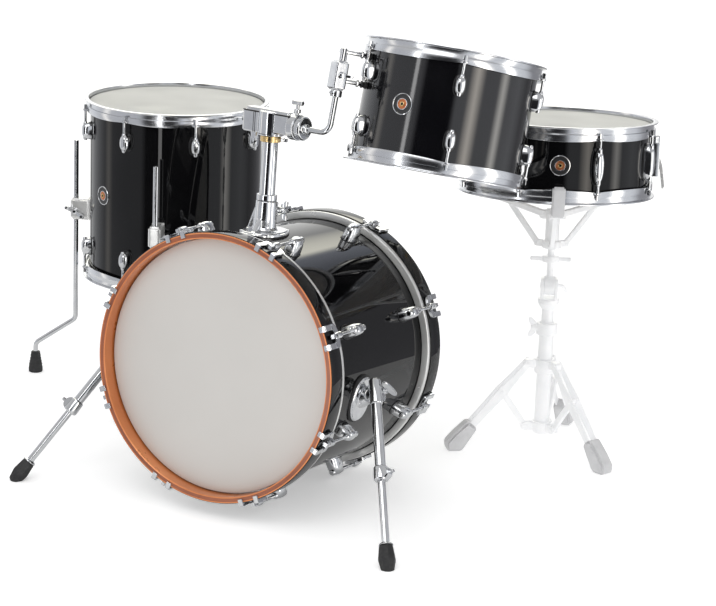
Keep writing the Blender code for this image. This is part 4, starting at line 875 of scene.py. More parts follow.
def claw():
    """A claw hook: two wide-set prongs bent over the hoop's edge, a bowed yoke, and the rod's barrel."""
    outside = BASS_HOOP_RADIUS + GAP
    front = HOOP_FRONT - 0.0002
    yoke_front = HOOP_BACK + CLAW_YOKE
    top = outside + CLAW_SHEET - 0.0004
    half, width = CLAW_PRONG_PLACE + CLAW_PRONG_HALF, 2 * CLAW_PRONG_HALF
    profile = soft([(outside, yoke_front - 0.004), (outside, front), (outside - CLAW_HOOK, front),
                    (outside - CLAW_HOOK - 0.0004, front + 0.0027), (top - 0.001, front + 0.0027),
                    (top, front + 0.0008), (top - 0.0012, yoke_front + 0.004), (top, yoke_front - 0.004)],
                   0.0018, 4)
    prongs = pair(profile, CLAW_PRONG_HALF, 0.0018, CLAW_PRONG_PLACE)
    bow = soft(mirrored([
        (HOOP_BACK + 0.001, -0.0085), (HOOP_BACK + 0.006, -half), (yoke_front + 0.003, -half),
        (yoke_front + 0.003, -half + width), (yoke_front - 0.0015, -half + width + 0.002)]), 0.0035, 4)
    upright = Matrix(((0, 0, 1, outside), (0, 1, 0, 0), (1, 0, 0, 0), (0, 0, 0, 1)))
    yoke = turned(prism(bow, 0, top - outside, 0.0014), upright)
    barrel = spindle([(0.0056, HOOP_BACK), (0.0064, HOOP_BACK + 0.003), (0.006, HOOP_BACK + 0.0165)], 28,
                     0.0008)
    return joined([prongs, yoke, shifted(barrel, BASS_RADIUS + BASS_ROD_RISE)])


def bass_cutter(grow):
    """The bass drum's round, grown a little, for what is cut to sit on it."""
    return cylinder(BASS_RADIUS + grow, -CUT_REACH, CUT_REACH, BASS_SIDES, 0)


# Spurs

def spur(side, label):
    """A folding spur: bracket on the shell, toothed hinge with wing screw, tube, and rod with its foot."""
    base_x = sqrt(BASS_RADIUS ** 2 - SPUR_DROP ** 2)
    pivot_x = base_x + cos(SPUR_SPLAY) * SPUR_STANDOFF
    pivot_y = -SPUR_DROP + sin(SPUR_SPLAY) * SPUR_STANDOFF
    splay = SPUR_SPLAY if side > 0 else pi - SPUR_SPLAY
    seat = atan2(-SPUR_DROP, base_x)
    seat = seat if side > 0 else pi - seat
    forward = -side * (pi / 2 + SPUR_FORWARD)

    def plate(grow, high):
        outline = oval(0.033 + grow, 0.042 + grow, 64, 2.1)
        shape = prism(outline, BASS_RADIUS - 0.008, BASS_RADIUS + high, 0.0022)
        return turned(along_x(shape), place((0, 0, SPUR_PLACE)) @ about_z(seat))

    boss = spindle([(0.0175, -SPUR_STANDOFF - 0.002), (0.015, -0.016), (0.0175, -0.012), (0.0175, -GAP)], 40,
                   0.0022)
    to_pivot = place((side * pivot_x, pivot_y, SPUR_PLACE), (0, 0, splay))
    bracket = cast([plate(0, 0.006), turned(along_x(boss), to_pivot)], [bass_cutter(GAP)])
    stand_in(f"spur_bracket_{label}", bracket, BASS, "kit", "cast_chrome")
    pad = cast([plate(0.003, 0.0026)], [bass_cutter(0.0001)], smooth=1)
    piece(f"spur_gasket_{label}", pad, BASS, "kit", "black_rubber")

    hinge = BASS @ to_pivot
    leg = hinge @ place(turn=(forward, 0, 0))
    away, offset = SPUR_TUBE_RADIUS + 0.002, -side * SPUR_OFFSET
    radius, bore = SPUR_TUBE_RADIUS, SPUR_TUBE_RADIUS - SPUR_TUBE_WALL
    low, above = -SPUR_TUBE_LENGTH, SPUR_TUBE_ABOVE
    hub = along_x(tube(0.019, 0.0043, 0, 0.0085, 48, 0.0012))
    teeth = toothed((0.0082, 0.0125, -0.0008), (0.009, 0.0175, 0.0008), 0.0002, 24, "X")
    web = box((0.0008, min(offset, 0), -0.0125), (0.0078, max(offset, 0), 0.0125), 0.002, 0.0015)
    sleeve = tube(radius, bore, low, above - 0.002, 48)
    socket = spindle([(radius + 0.0016, above), (radius + 0.002, -0.03), (radius - 0.0004, -0.032),
                      (radius - 0.0004, above - 0.004)], 48, 0.003)
    wide = SPUR_CLAMP_RADIUS
    clamp = lathe([(bore, low - 0.006), (wide - 0.002, low - 0.006), (wide, low - 0.003),
                   (wide - 0.001, low + 0.02), (radius, low + 0.022), (bore, low + 0.022)], 40, 0.001)
    jaw = slab(soft([(0, low - 0.005), (0.012, low - 0.005), (0.0195, low + 0.001), (0.0195, low + 0.012),
                     (0.012, low + 0.02), (0, low + 0.02)], 0.006, 5), 0.0085, 0.002)
    bolt = shifted(along_x(cylinder(0.0034, 0, 0.0085, 6)), 0.0185, 0, low + 0.0065)
    upper = joined([hub, web, teeth, shifted(joined([sleeve, socket, clamp, jaw, bolt]), away, offset)])
    stand_in(f"spur_tube_{label}", upper, leg, f"spur_{label}", "chrome")

    thumb = shifted(slab(oval(0.0205, 0.0072, 48, 2.2), 0.0022, 0.0013), z=0.0292)
    shank, washer = cylinder(0.0034, 0.0088, 0.024, 20), cylinder(0.0072, 0.0182, 0.0225, 28)
    screw = along_x(joined([shank, washer, thumb]))
    screw_at = hinge @ place(turn=(forward + side * SPUR_SCREW_TURN, 0, 0))
    stand_in(f"spur_wing_screw_{label}", screw, screw_at, f"spur_screw_{label}", "chrome")

    drop = leg.to_3x3() @ Vector((0, 0, -1))
    reach = (leg @ Vector((away, offset, 0))).z / -drop.z
    slide = leg @ place((away, offset, 0))
    tip = SPUR_TIP_LENGTH - reach
    rod_radius = bore - SLIDE_GAP
    rod = cylinder(rod_radius, tip - 0.01, SPUR_ROD_TOP, 32)
    cup = lathe([(rod_radius - 0.001, tip + GAP), (SPUR_TIP_RADIUS * 0.8, tip + GAP),
                 (SPUR_TIP_RADIUS * 0.78, tip + 0.002), (SPUR_TIP_RADIUS * 0.6, tip + 0.0048),
                 (rod_radius - 0.001, tip + 0.005)], 40, 0.0007)
    stand_in(f"spur_rod_{label}", joined([rod, cup]), slide, f"spur_rod_{label}", "chrome")
    rubber = [(0, tip), *[(SPUR_TIP_RADIUS * share, z) for share, z in (
        (0.74, tip), (0.78, tip - 0.004), (0.955, tip - 0.026), (0.7, -reach - 0.001))], (0, -reach - 0.008)]
    foot = lathe(rubber, 8, 0.0025)
    to_slide = slide.inverted()
    origin, down = to_slide @ Vector((0, 0, 0)), -(to_slide.to_3x3() @ Vector((0, 0, 1)))
    bmesh.ops.bisect_plane(foot, geom=foot.verts[:] + foot.edges[:] + foot.faces[:], plane_co=origin,
                           plane_no=down, clear_outer=True)
    bmesh.ops.holes_fill(foot, edges=[e for e in foot.edges if e.is_boundary], sides=0)
    stand_in(f"spur_foot_{label}", foot, slide, f"spur_rod_{label}", "black_rubber")


# Tom mount

def tom_mount():
    half_x, half_y = MOUNT_PLATE[0] / 2, MOUNT_PLATE[1] / 2
    into_mount = place((0, 0, -BASS_RADIUS)) @ Matrix.Rotation(pi / 2, 4, "X") @ place((0, 0, -MOUNT_PLACE))
    plate = prism(oval(half_x, half_y, 64, 2.3), -0.01, 0.006, 0.003)
    receiver = lathe([(0, 0), (RECEIVER_RADIUS + 0.004, 0.004), (RECEIVER_RADIUS, 0.012),
                      (RECEIVER_RADIUS - 0.001, RECEIVER_TOP), (0, RECEIVER_TOP)], 48, 0.002)
    ears = box((-0.0068, 0.014, 0.027), (0.0068, 0.033, 0.055), 0.002, 0.003)
    gusset = slab(soft([(-0.035, 0.003), (-0.01, 0.003), (-0.01, 0.047), (-0.02, 0.047)], 0.002), 0.0068,
                  0.0015)
    front = turned(slab([(-0.043, 0.003), (-0.01, 0.003), (-0.01, 0.038)], 0.0045, 0.0012), about_z(pi / 2))
    bore = cylinder(POST_RADIUS + SLIDE_GAP, -0.05, 0.12, 64, 0)
    split = box((-0.0013, 0.002, 0.022), (0.0013, 0.05, 0.07), 0, 0)
    seat = turned(bass_cutter(0.0012), into_mount)
    casting = cast([plate, receiver, ears, gusset, front], [seat, bore, split])
    stand_in("tom_base", casting, MOUNT, "kit", "cast_chrome")
    screws = joined([shifted(cylinder(0.0052, -0.004, 0.0072, 24, 0.001), x, y, -0.0012)
                     for y in (-0.034, 0.034) for x in (-0.026, 0.026)])
    piece("tom_base_screws", screws, MOUNT, "kit", "chrome")
    pad = cast([prism(oval(half_x + 0.0006, half_y + 0.0006, 64, 2.3), -0.01, -0.0002, 0.0004)],
               [turned(bass_cutter(0.0001), into_mount)], smooth=1)
    piece("tom_base_gasket", pad, MOUNT, "kit", "black_rubber")
    bolt = along_x(joined([wing_nut(0.004, 0.01, 0.036), cylinder(0.004, 0.0, 0.008, 24)]))
    bolt_at = MOUNT @ place((0.007 + GAP, 0.025, 0.041))
    stand_in("tom_base_wing_bolt", bolt, bolt_at, "tom_base_bolt", "chrome")

    ring_low = RECEIVER_TOP + GAP
    bush_top = ARM_HEIGHT - HOLDER_HALF - GAP
    ring = POST_RADIUS + 0.0045
    post = tube(POST_RADIUS, POST_RADIUS - POST_WALL, -POST_BELOW, ARM_HEIGHT + HOLDER_HALF - 0.0085, 64)
    lock = tube(ring, POST_RADIUS - 0.0005, ring_low, ring_low + 0.011, 64, 0.0012)
    stand_in("tom_post", joined([post, lock]), MOUNT, "tom_post", "chrome")
    bush = tube(ring, POST_RADIUS + 0.0001, bush_top - 0.011, bush_top, 64, 0.0012)
    piece("tom_post_bush", bush, MOUNT, "tom_post", "brass")
    screw = spindle([(0.0024, 0.012), (0.0024, 0.0245), (0.0036, 0.025), (0.0036, 0.0315)], 20, 0.0006)
    screw = turned(shifted(along_x(screw), z=bush_top - 0.006), about_z(pi / 12))
    piece("tom_post_bush_screw", screw, MOUNT, "tom_post", "chrome")
    tom_holder()
    tom_arm()
    rack_tom()


def tom_holder():
    half = HOLDER_HALF
    barrel = cylinder(0.024, -half, half, 64, 0.002)
    left = centred_box(-0.057, -0.012, 0.0165, -half + 0.003, half - 0.002, 0.005, 0.002)
    right = centred_box(0.01, 0.053, 0.0155, -half + 0.006, half - 0.002, 0.004, 0.002)
    cap = centred_box(-0.053, 0.049, 0.0125, half - 0.003, half + 0.0036, 0.006, 0.0015)
    housing = shifted(along_x(cylinder(0.0232, 0, RATCHET_PLACE - GAP - 0.05, 48, 0.0015)), 0.05)
    lever = slab(soft([(-0.048, -half + 0.008), (-0.03, -half + 0.008), (-0.033, -half - 0.014),
                       (-0.039, -half - 0.0215), (-0.042, -half - 0.014)], 0.004, 4), 0.0048, 0.0015)
    socket = cylinder(POST_RADIUS + 0.0003, -half - 0.01, half - 0.0075, 64, 0)
    hole = shifted(cylinder(0.004, -0.002, 0.06, 32, 0), 0.058)
    casting = cast([barrel, left, right, cap, housing, lever], [socket, hole])
    stand_in("tom_holder", casting, HOLDER, "tom_holder", "chrome")
    strips = [centred_box(x, x + 0.0012, 0.0168, -half + 0.004, half - 0.003, 0.0002, 0.0002)
              for x in (-0.0262, -0.03)]
    shim = joined([centred_box(-0.0574, 0.0534, 0.0169, half - 0.003, half - 0.0018, 0.005, 0.0003),
                   tube(0.0244, 0.0225, -half + 0.003, -half + 0.004, 64, 0.0002), *strips])
    piece("tom_holder_shim", shim, HOLDER, "tom_holder", "black_nylon")
    nut = turned(wing_nut(0.0036, 0.003, 0.042), Matrix.Rotation(-pi / 2, 4, "Y"))
    nut = shifted(turned(nut, Matrix.Rotation(pi / 2, 4, "X")), -0.056)
    piece("tom_holder_clamp_nut", nut, HOLDER, "tom_holder", "chrome")

    grip = spindle([(0.0042, -0.012), (0.0045, -0.008), (0.0036, 0), (0.0045, 0.008), (0.0042, 0.012)], 28,
                   0.0015)
    bolt = joined([cylinder(0.0034, 0, 0.043, 24), cylinder(0.0065, 0.0246, 0.032, 32, 0.0015),
                   shifted(along_x(grip), z=0.043)])
    stand_in("tom_holder_t_bolt", bolt, HOLDER @ place((0.058, 0, 0.001)), "tom_t_bolt", "chrome")


def tom_arm():
    """The L-arm with its toothed ratchet disc at one end, and the memory lock under the rack tom."""
    route = rounded([(RATCHET_PLACE + 0.004, 0, 0), (ARM_REACH, 0, 0), (ARM_REACH, 0, ARM_RISE)], ARM_ARC, 12)
    radius, rim = RATCHET_RADIUS, RATCHET_RADIUS - 0.0006
    disc = spindle([(radius - 0.002, 0), (rim, 0.003), (rim, 0.01), (radius - 0.003, 0.013)], 56, 0.0012)
    ridges = toothed((RATCHET_PLACE + 0.0025, -0.0008, radius - 0.0015),
                     (RATCHET_PLACE + 0.0105, 0.0008, radius), 0.0003, 36, "X")
    nose = spindle([(0.0095, 0.012), (0.0085, 0.017), (0.0062, 0.019)], 40, 0.0008)
    lock_low = TOM_HANG - 0.026 - 0.012 - GAP
    lock = shifted(cylinder(0.0105, lock_low, lock_low + 0.012, 40, 0.0015), ARM_REACH)
    key = turned(along_y(cylinder(0.0032, 0, 0.0085, 4)), about_z(pi))
    key = shifted(key, ARM_REACH, -0.0085, lock_low + 0.006)
    arm = joined([bar(route, ARM_RADIUS, 32), shifted(along_x(disc), RATCHET_PLACE), ridges,
                  shifted(along_x(nose), RATCHET_PLACE), lock, key])
    stand_in("tom_arm", arm, ARM, "tom_arm", "chrome")


def rack_tom():
    toward_rod = TOM_SIDE + pi
    angles = [toward_rod + tau * i / TOM_LUGS for i in range(TOM_LUGS)]
    lug_place = TOM_DEPTH / 2 - TOM_LUG_INSET
    small_drum("rack_tom", TOM, "rack_tom", TOM_RADIUS, TOM_DEPTH, angles, TOM_LUG_LENGTH,
               (-lug_place, lug_place), toward_rod + TOM_BADGE_TURN, "satin_lacquer")
    aside = TOM_RODS_ASIDE
    reach = TOM_AWAY - TOM_RADIUS - GAP
    places = [lug_place + TOM_MIDDLE + side * TOM_RODS_APART / 2 for side in (-1, 1)]
    rods, grommets = [], []
    for z in places:
        rods += [shifted(along_x(rod), y=aside, z=z) for rod in (
            cylinder(0.004, 0, reach - 0.006, 28),
            cylinder(0.0062, reach - 0.02, reach - 0.016, 6, 0.0005))]
        grommet = spindle([(0.0068, reach - 0.01), (0.005, reach - 0.006), (0.0068, reach - 0.002),
                           (0.0068, reach)], 32, 0.0008)
        grommets.append(shifted(along_x(grommet), y=aside, z=z))
    block = box((-0.012, -0.011, -0.026), (0.012, 0.023, 0.026), 0.004, 0.003)
    yoke = box((0.008, aside - 0.004, places[0] - 0.005), (0.014, aside + 0.004, places[1] + 0.005), 0.002,
               0.0015)
    casting = cast([block, yoke], [cylinder(ARM_RADIUS + 0.0003, -0.04, 0.04, 40, 0)])
    where = HANG @ about_z(TOM_SIDE)
    stand_in("tom_bracket", casting, where, "rack_tom", "cast_chrome")
    wing = shifted(turned(wing_nut(0.0034, 0.003, 0.034), Matrix.Rotation(pi / 2, 4, "X")), y=-0.0105)
    piece("tom_bracket_rods", joined([*rods, wing]), where, "rack_tom", "chrome")
    piece("tom_bracket_grommets", joined(grommets), where, "rack_tom", "black_rubber")


# Floor tom

def floor_tom():
    lug_place = FLOOR_DEPTH / 2 - FLOOR_LUG_INSET
    angles = [tau * i / FLOOR_LUGS for i in range(FLOOR_LUGS)]
    small_drum("floor_tom", FLOOR, "kit", FLOOR_RADIUS, FLOOR_DEPTH, angles, TOM_LUG_LENGTH,
               (-lug_place, lug_place), FLOOR_BADGE_TURN, "gloss_lacquer")
    height = BRACKET_HEIGHT - FLOOR_MIDDLE
    half = BRACKET_SIZE / 2
    tall = half * 1.75
    rod_out = FLOOR_RADIUS + LEG_STANDOFF

    def bracket():
        low, high = height - tall, height + tall
        block = centred_box(FLOOR_RADIUS + 0.002, rod_out + 0.01, half, low, high, 0.005, 0.004)
        base = centred_box(FLOOR_RADIUS - 0.003, FLOOR_RADIUS + 0.004, half, low, high, 0.002, 0.001)
        bore = cylinder(LEG_RADIUS + SLIDE_GAP, height - 0.06, height + 0.06, 40, 0)
        return cast([block, base], [shifted(bore, rod_out)], grid=0.0011, smooth=5)

    def wing():
        nut = turned(wing_nut(0.0034, 0.003, 0.046, 0.003), about_z(FLOOR_WING_TURN))
        return shifted(along_y(nut), rod_out - 0.002, half - 0.001, height - 0.004)

    piece("floor_tom_brackets", round_z(bracket, FLOOR_LEG_TURNS), FLOOR, "kit", "satin_chrome")
    piece("floor_tom_wings", round_z(wing, FLOOR_LEG_TURNS), FLOOR, "kit", "chrome")

    route = rounded([(0, 0, LEG_TOP), (0, 0, LEG_BENDS[0]), (LEG_SPLAY, 0, LEG_BENDS[1]),
                     (LEG_SPLAY, 0, 0.014)], LEG_ARC)
    inside = LEG_RADIUS + GAP
    rubber = [(inside, FOOT_HEIGHT), (FOOT_RADIUS * 0.6, FOOT_HEIGHT),
              (FOOT_RADIUS * 0.66, FOOT_HEIGHT - 0.006)]
    for k in range(4):
        z = FOOT_HEIGHT - 0.01 - k * 0.006
        rubber += [(FOOT_RADIUS * (0.72 + 0.07 * k), z), (FOOT_RADIUS * (0.67 + 0.07 * k), z - 0.002)]
    rubber += [(FOOT_RADIUS * 0.965, 0.009), (FOOT_RADIUS * 0.965, 0.002), (FOOT_RADIUS * 0.9, 0), (0, 0),
               (0, 0.0137), (inside, 0.0137)]
    for number, (turn, twist) in enumerate(zip(FLOOR_LEG_TURNS, FLOOR_LEG_TWISTS), 1):
        where = FLOOR @ place_out(rod_out, -FLOOR_MIDDLE, turn, twist)
        body = f"floor_tom_leg_{number}"
        knurl = tube(LEG_RADIUS * 1.003, LEG_RADIUS * 0.6, LEG_TOP - 0.15, LEG_TOP - 0.03, 40, 0)
        stand_in(body, joined([bar(route, LEG_RADIUS, 28), knurl]), where, body, "chrome")
        foot = shifted(lathe(rubber, 48, 0.0008), LEG_SPLAY)
        stand_in(f"floor_tom_foot_{number}", foot, where, body, "black_rubber")


# Snare drum

def snare_drum():
    angles = [tau * (i + 0.5) / SNARE_LUGS for i in range(SNARE_LUGS)]
    small_drum("snare", SNARE, "basket", SNARE_RADIUS, SNARE_DEPTH, angles, SNARE_LUG_LENGTH, (0,), pi,
               "gloss_lacquer")
    side = SNARE @ about_z(STRAINER_TURN)
    outside = SNARE_RADIUS
    butt = centred_box(outside - 0.003, outside + 0.0115, 0.0135, -0.025, 0.0115, 0.003, 0.0025)
    clamp = centred_box(outside + 0.002, outside + 0.0118, 0.012, -0.026, -0.014, 0.0015, 0.001)
    screw = shifted(along_x(cylinder(0.003, outside + 0.01, outside + 0.0118, 20, 0.0005)), z=-0.004)
    piece("snare_butt_plate", joined([butt, clamp, screw]), side @ about_z(pi), "basket", "cast_chrome")
    back = centred_box(outside + GAP, outside + 0.0063, 0.0138, -0.036, 0.03, 0.003, 0.0015)
    cheeks = [box((outside + 0.002, y - 0.0042, -0.034), (outside + 0.0198, y + 0.0042, 0.029), 0.002, 0.002)
              for y in (-0.0096, 0.0096)]
    bridge = centred_box(outside + 0.002, outside + 0.0195, 0.0135, 0.0145, 0.0295, 0.002, 0.002)
    stand_in("snare_strainer", joined([back, *cheeks, bridge]), side, "basket", "cast_chrome")
    knob = spindle([(0.008, 0.0285), (0.0085, 0.031), (0.0085, 0.041), (0.0076, 0.044)], 40, 0.0008)
    grips = toothed((0.0078, -0.0005, 0.0315), (0.0085, 0.0005, 0.0405), 0.0002, 20, "Z")
    piece("snare_strainer_knob", shifted(joined([knob, grips]), outside + 0.01), side, "basket", "chrome")
    lever = slab(soft([(-0.003, 0.006), (0.004, 0.006), (0.0095, -0.01), (0.016, -0.05), (0.0115, -0.056),
                       (0.005, -0.016), (-0.003, -0.006)], 0.003, 4), 0.0047, 0.003)
    lever_at = side @ place((outside + 0.0165, 0, -0.004))
    stand_in("strainer_lever", lever, lever_at, "strainer_lever", "satin_chrome")

    half_length, half_width = SNARE_WIRE_LENGTH / 2, SNARE_WIRE_WIDTH / 2
    under = -SNARE_DEPTH / 2 - HEAD_FILM - 2 * GAP
    ends = [centred_box(*ends, half_width, under - 0.0014, under, 0.002, 0.0004)
            for ends in ((-half_length, 0.018 - half_length), (half_length - 0.018, half_length))]
    stand_in("snare_wires", joined(ends), side, "basket", "brass")
    spacing = (SNARE_WIRE_WIDTH - 0.006) / (SNARE_STRANDS - 1)
    run = half_length - 0.014
    coils = []
    for i in range(SNARE_STRANDS):
        y = 0.003 - half_width + i * spacing
        path = [(-run + 2 * run * k / 280, y + SNARE_COIL * cos(tau * k / 4),
                 under - 0.0007 + SNARE_COIL * sin(tau * k / 4)) for k in range(281)]
        coils.append(bar(path, 0.0002, 3, 0))
    piece("snare_wire_strands", joined(coils), side, "basket", "steel_wire")


# Snare stand

def rivet_at(radius, low, high, sides, round_off, x, y, z):
    """A rivet along Y, from low to high of the place y."""
    return shifted(along_y(cylinder(radius, low, high, sides, round_off)), x, y, z)


def stand():
    thirds = [tau * i / 3 for i in range(3)]
    bore = STAND_TUBE_RADIUS - STAND_TUBE_WALL
    low, high = BRACE_PIVOT[1], LEG_PIVOT[1]

    def ring(inner, bottom, top):
        return tube(COLLAR_RADIUS, inner, bottom, top, 64, 0.002)

    def ear_outline(pivot, below, above):
        x, z = pivot
        return soft(rectangle(COLLAR_RADIUS - 0.003, z - below, x + 0.007, z + above), 0.006, 5)

    def brace_ear(side):
        middle = side * (BRACE_WIDTH / 2 + GAP + 0.0015)
        face = middle + side * 0.0014 - (0.0016 if side < 0 else 0)
        return joined([shifted(slab(ear_outline(BRACE_PIVOT, 0.008, 0.008), 0.0015, 0.0005), y=middle),
                       rivet_at(0.0032, 0, 0.0016, 20, 0.0006, BRACE_PIVOT[0], face, low)])

    def leg_ear():
        return slab(ear_outline(LEG_PIVOT, 0.009, 0.007), LEG_BAR_GAP / 2 - GAP, 0.0008)

    lower = tube(STAND_TUBE_RADIUS, bore, STAND_TUBE_LOW, STAND_CLAMP_TOP, 64)
    plug = cylinder(STAND_TUBE_RADIUS + 0.0012, STAND_TUBE_LOW, STAND_TUBE_LOW + 0.003, 48, 0.001)
    hub = ring(STAND_TUBE_RADIUS - 0.0004, low - 0.01, low + 0.01)
    clamp = ring(STAND_TUBE_RADIUS - 0.0004, STAND_CLAMP_TOP - 0.026, STAND_CLAMP_TOP - 0.002)
    nut = along_x(joined([wing_nut(0.004, 0.004, 0.04), cylinder(0.0075, -0.004, 0.001, 32, 0.001)]))
    nut = shifted(nut, COLLAR_RADIUS - 0.002, 0, STAND_CLAMP_TOP - 0.013)
    nut = turned(nut, about_z(STAND_NUT_TURN - STAND_TURN))
    fixed = joined([lower, plug, hub, clamp, round_z(lambda: both_sides(brace_ear), thirds), nut])
    stand_in("stand_tube", fixed, STAND, "kit", "pale_metal_painted_glow")
    collar = ring(STAND_TUBE_RADIUS + SLIDE_GAP, high - 0.02, high + 0.008)
    collar = joined([collar, round_z(leg_ear, thirds)])
    stand_in("stand_leg_collar", collar, STAND, "stand_collar", "pale_metal_painted_glow")
    for number, turn in enumerate(thirds, 1):
        stand_leg(number, turn)
        stand_brace(number, turn)
    stand_height_tube(bore - SLIDE_GAP)
    basket()


def stand_height_tube(radius):
    """The inner tube, and the tilter's lower half on it: a cup, two cheeks, the pivot and a lever."""
    top = TILTER_HEIGHT - 0.043
    fork_low = TILTER_HEIGHT - TILTER_RADIUS - 0.007
    cheek = soft(rectangle(-0.0168, fork_low - 0.003, 0.0168, TILTER_HEIGHT + 0.0155), 0.009, 6)
    cup = spindle([(0.0135, top - 0.004), (0.021, top + 0.008), (0.021, fork_low)], 56, 0.002)
    cheeks = pair(cheek, 0.0029, 0.0011, 0.0135)
    pivot = rivet_at(0.006, -0.0176, 0.0176, 32, 0.001, 0, 0, TILTER_HEIGHT)
    lever = bar(rounded([(0, -0.015, TILTER_HEIGHT), (0.004, -0.027, TILTER_HEIGHT - 0.002),
                         (0.016, -0.034, TILTER_HEIGHT - 0.016)], 0.004, 6), 0.0035)
    fork = turned(joined([cup, cheeks, pivot, lever]), about_z(BASKET_AZIMUTH - STAND_TURN))
    inner = tube(radius, radius - 0.0016, 0.12, top, 64)
    stand_in("stand_height_tube", joined([inner, fork]), STAND, "stand_height", "pale_metal_painted_glow")


def stand_leg(number, turn):
    where = STAND @ place_out(*LEG_PIVOT, turn)
    body = f"stand_leg_{number}"

    def on_leg(s, rise):
        return LEG_OUT * s - LEG_DOWN * rise, LEG_DOWN * s + LEG_OUT * rise

    middle, end = LEG_LENGTH * BRACE_SHARE, LEG_LENGTH - 0.03
    outline = soft([on_leg(s, rise) for s, rise in (
        (-0.008, -0.006), (-0.008, 0.006), (middle * 0.5, 0.0068), (middle, 0.01), (middle * 1.6, 0.0085),
        (end, 0.007), (end, -0.007), (middle * 1.6, -0.0085), (middle, -0.01), (middle * 0.5, -0.0068))],
                   0.005, 4)
    shift = LEG_BAR_GAP / 2 + LEG_BAR / 2

    def half_leg(side):
        parts = [shifted(slab(outline, LEG_BAR / 2, 0.0008), y=side * shift)]
        face = side * (shift + LEG_BAR / 2 + 0.0004)
        for x, z in (on_leg(0, 0), on_leg(middle, 0)):
            parts.append(rivet_at(0.0034, -0.0008, 0.0008, 24, 0.0006, x, face, z))
        return joined(parts)

    stand_in(body, both_sides(half_leg), where, body, "pale_metal_painted_glow")
    floor = -LEG_PIVOT[1]
    boot_top = LEG_LENGTH - 0.055
    boot = soft([on_leg(boot_top, -0.0125), on_leg(boot_top, 0.0125), on_leg(LEG_LENGTH - 0.02, 0.0165),
                 on_leg(LEG_LENGTH + 0.007, 0.0165), (STAND_FOOT[0] + 0.014 - LEG_PIVOT[0], floor),
                 (STAND_FOOT[0] - 0.016 - LEG_PIVOT[0], floor)], 0.007, 6)
    piece(f"stand_boot_{number}", slab(boot, BOOT_WIDTH / 2, 0.005), where, body, "pale_rubber")


def stand_brace(number, turn):
    rise = Vector((LEG_PIVOT[0] + LEG_OUT * LEG_LENGTH * BRACE_SHARE - BRACE_PIVOT[0],
                   LEG_PIVOT[1] + LEG_DOWN * LEG_LENGTH * BRACE_SHARE - BRACE_PIVOT[1]))
    way = rise.normalized()
    side = Vector((-way.y, way.x)) * 0.006
    start, end = way * -0.005, rise + way * 0.002
    outline = soft([(start + side)[:], (start - side)[:], (end - side)[:], (end + side)[:]], 0.005, 5)
    reach = LEG_BAR_GAP / 2 - GAP
    eye = rivet_at(0.0045, -reach, reach, 28, 0.0006, rise.x, 0, rise.y)
    brace = joined([slab(outline, BRACE_WIDTH / 2, 0.001), eye])
    name = f"stand_brace_{number}"
    stand_in(name, brace, STAND @ place_out(*BRACE_PIVOT, turn), name, "pale_metal_painted_glow")


def basket():
    knuckle = along_y(cylinder(TILTER_RADIUS, -0.0102, 0.0102, 56, 0.0015))
    teeth = toothed((-0.0007, -0.0095, TILTER_RADIUS - 0.0012), (0.0007, 0.0095, TILTER_RADIUS), 0.0002, 30,
                    "Y")
    low = BASKET_BLOCK[0]
    neck = cylinder(BASKET_NECK, 0.01, low + 0.004, 32)
    thread = threaded(BASKET_NECK + 0.0002, 0.024, low, 0.0016)
    block = cylinder(BASKET_BLOCK_RADIUS, *BASKET_BLOCK, 48, 0.0015)
    collar = cylinder(BASKET_BLOCK_RADIUS + 0.005, low + 0.002, low + 0.016, 48, 0.0015)

    def ears(half, reach, bottom, top, x, z):
        outline = soft(rectangle(0.01, bottom, reach, top), 0.005, 4)

        def ear(side):
            face = side * (half + GAP + 0.0022)
            return joined([shifted(slab(outline, 0.001, 0.0004), y=side * (half + GAP + 0.001)),
                           rivet_at(0.0024, -0.0007, 0.0007, 20, 0.0005, x, face, z)])
        return both_sides(ear)

    def all_ears():
        x, z = ARM_PIVOT
        return joined([ears(BASKET_ARM_HALF, x + 0.006, z - 0.008, z + 0.008, x, z),
                       ears(BASKET_LINK_HALF, LINK_FOOT + 0.01, low + 0.003, low + 0.015, LINK_FOOT + 0.004,
                            low + 0.009)])

    post = joined([knuckle, teeth, neck, thread, block, collar, round_z(all_ears, BASKET_TURNS)])
    stand_in("basket_post", post, BASKET, "basket", "pale_metal_painted_glow")

    ring = tube(0.0165, BASKET_NECK + 0.0003, -0.006, 0.006, 48, 0.0015)
    outline = soft(mirrored([(0.012, -0.0045), (0.03, -0.004), (0.04, -0.005)]), 0.003, 4)
    handles = round_z(lambda: prism(outline, -0.004, 0.004, 0.0015), (0, pi))
    nut = joined([ring, turned(handles, about_z(BASKET_NUT_TURN))])
    stand_in("basket_nut", nut, BASKET @ place((0, 0, BASKET_NUT)), "basket_nut", "pale_metal_painted_glow")
    for number, turn in enumerate(BASKET_TURNS, 1):
        basket_arm(number, turn)


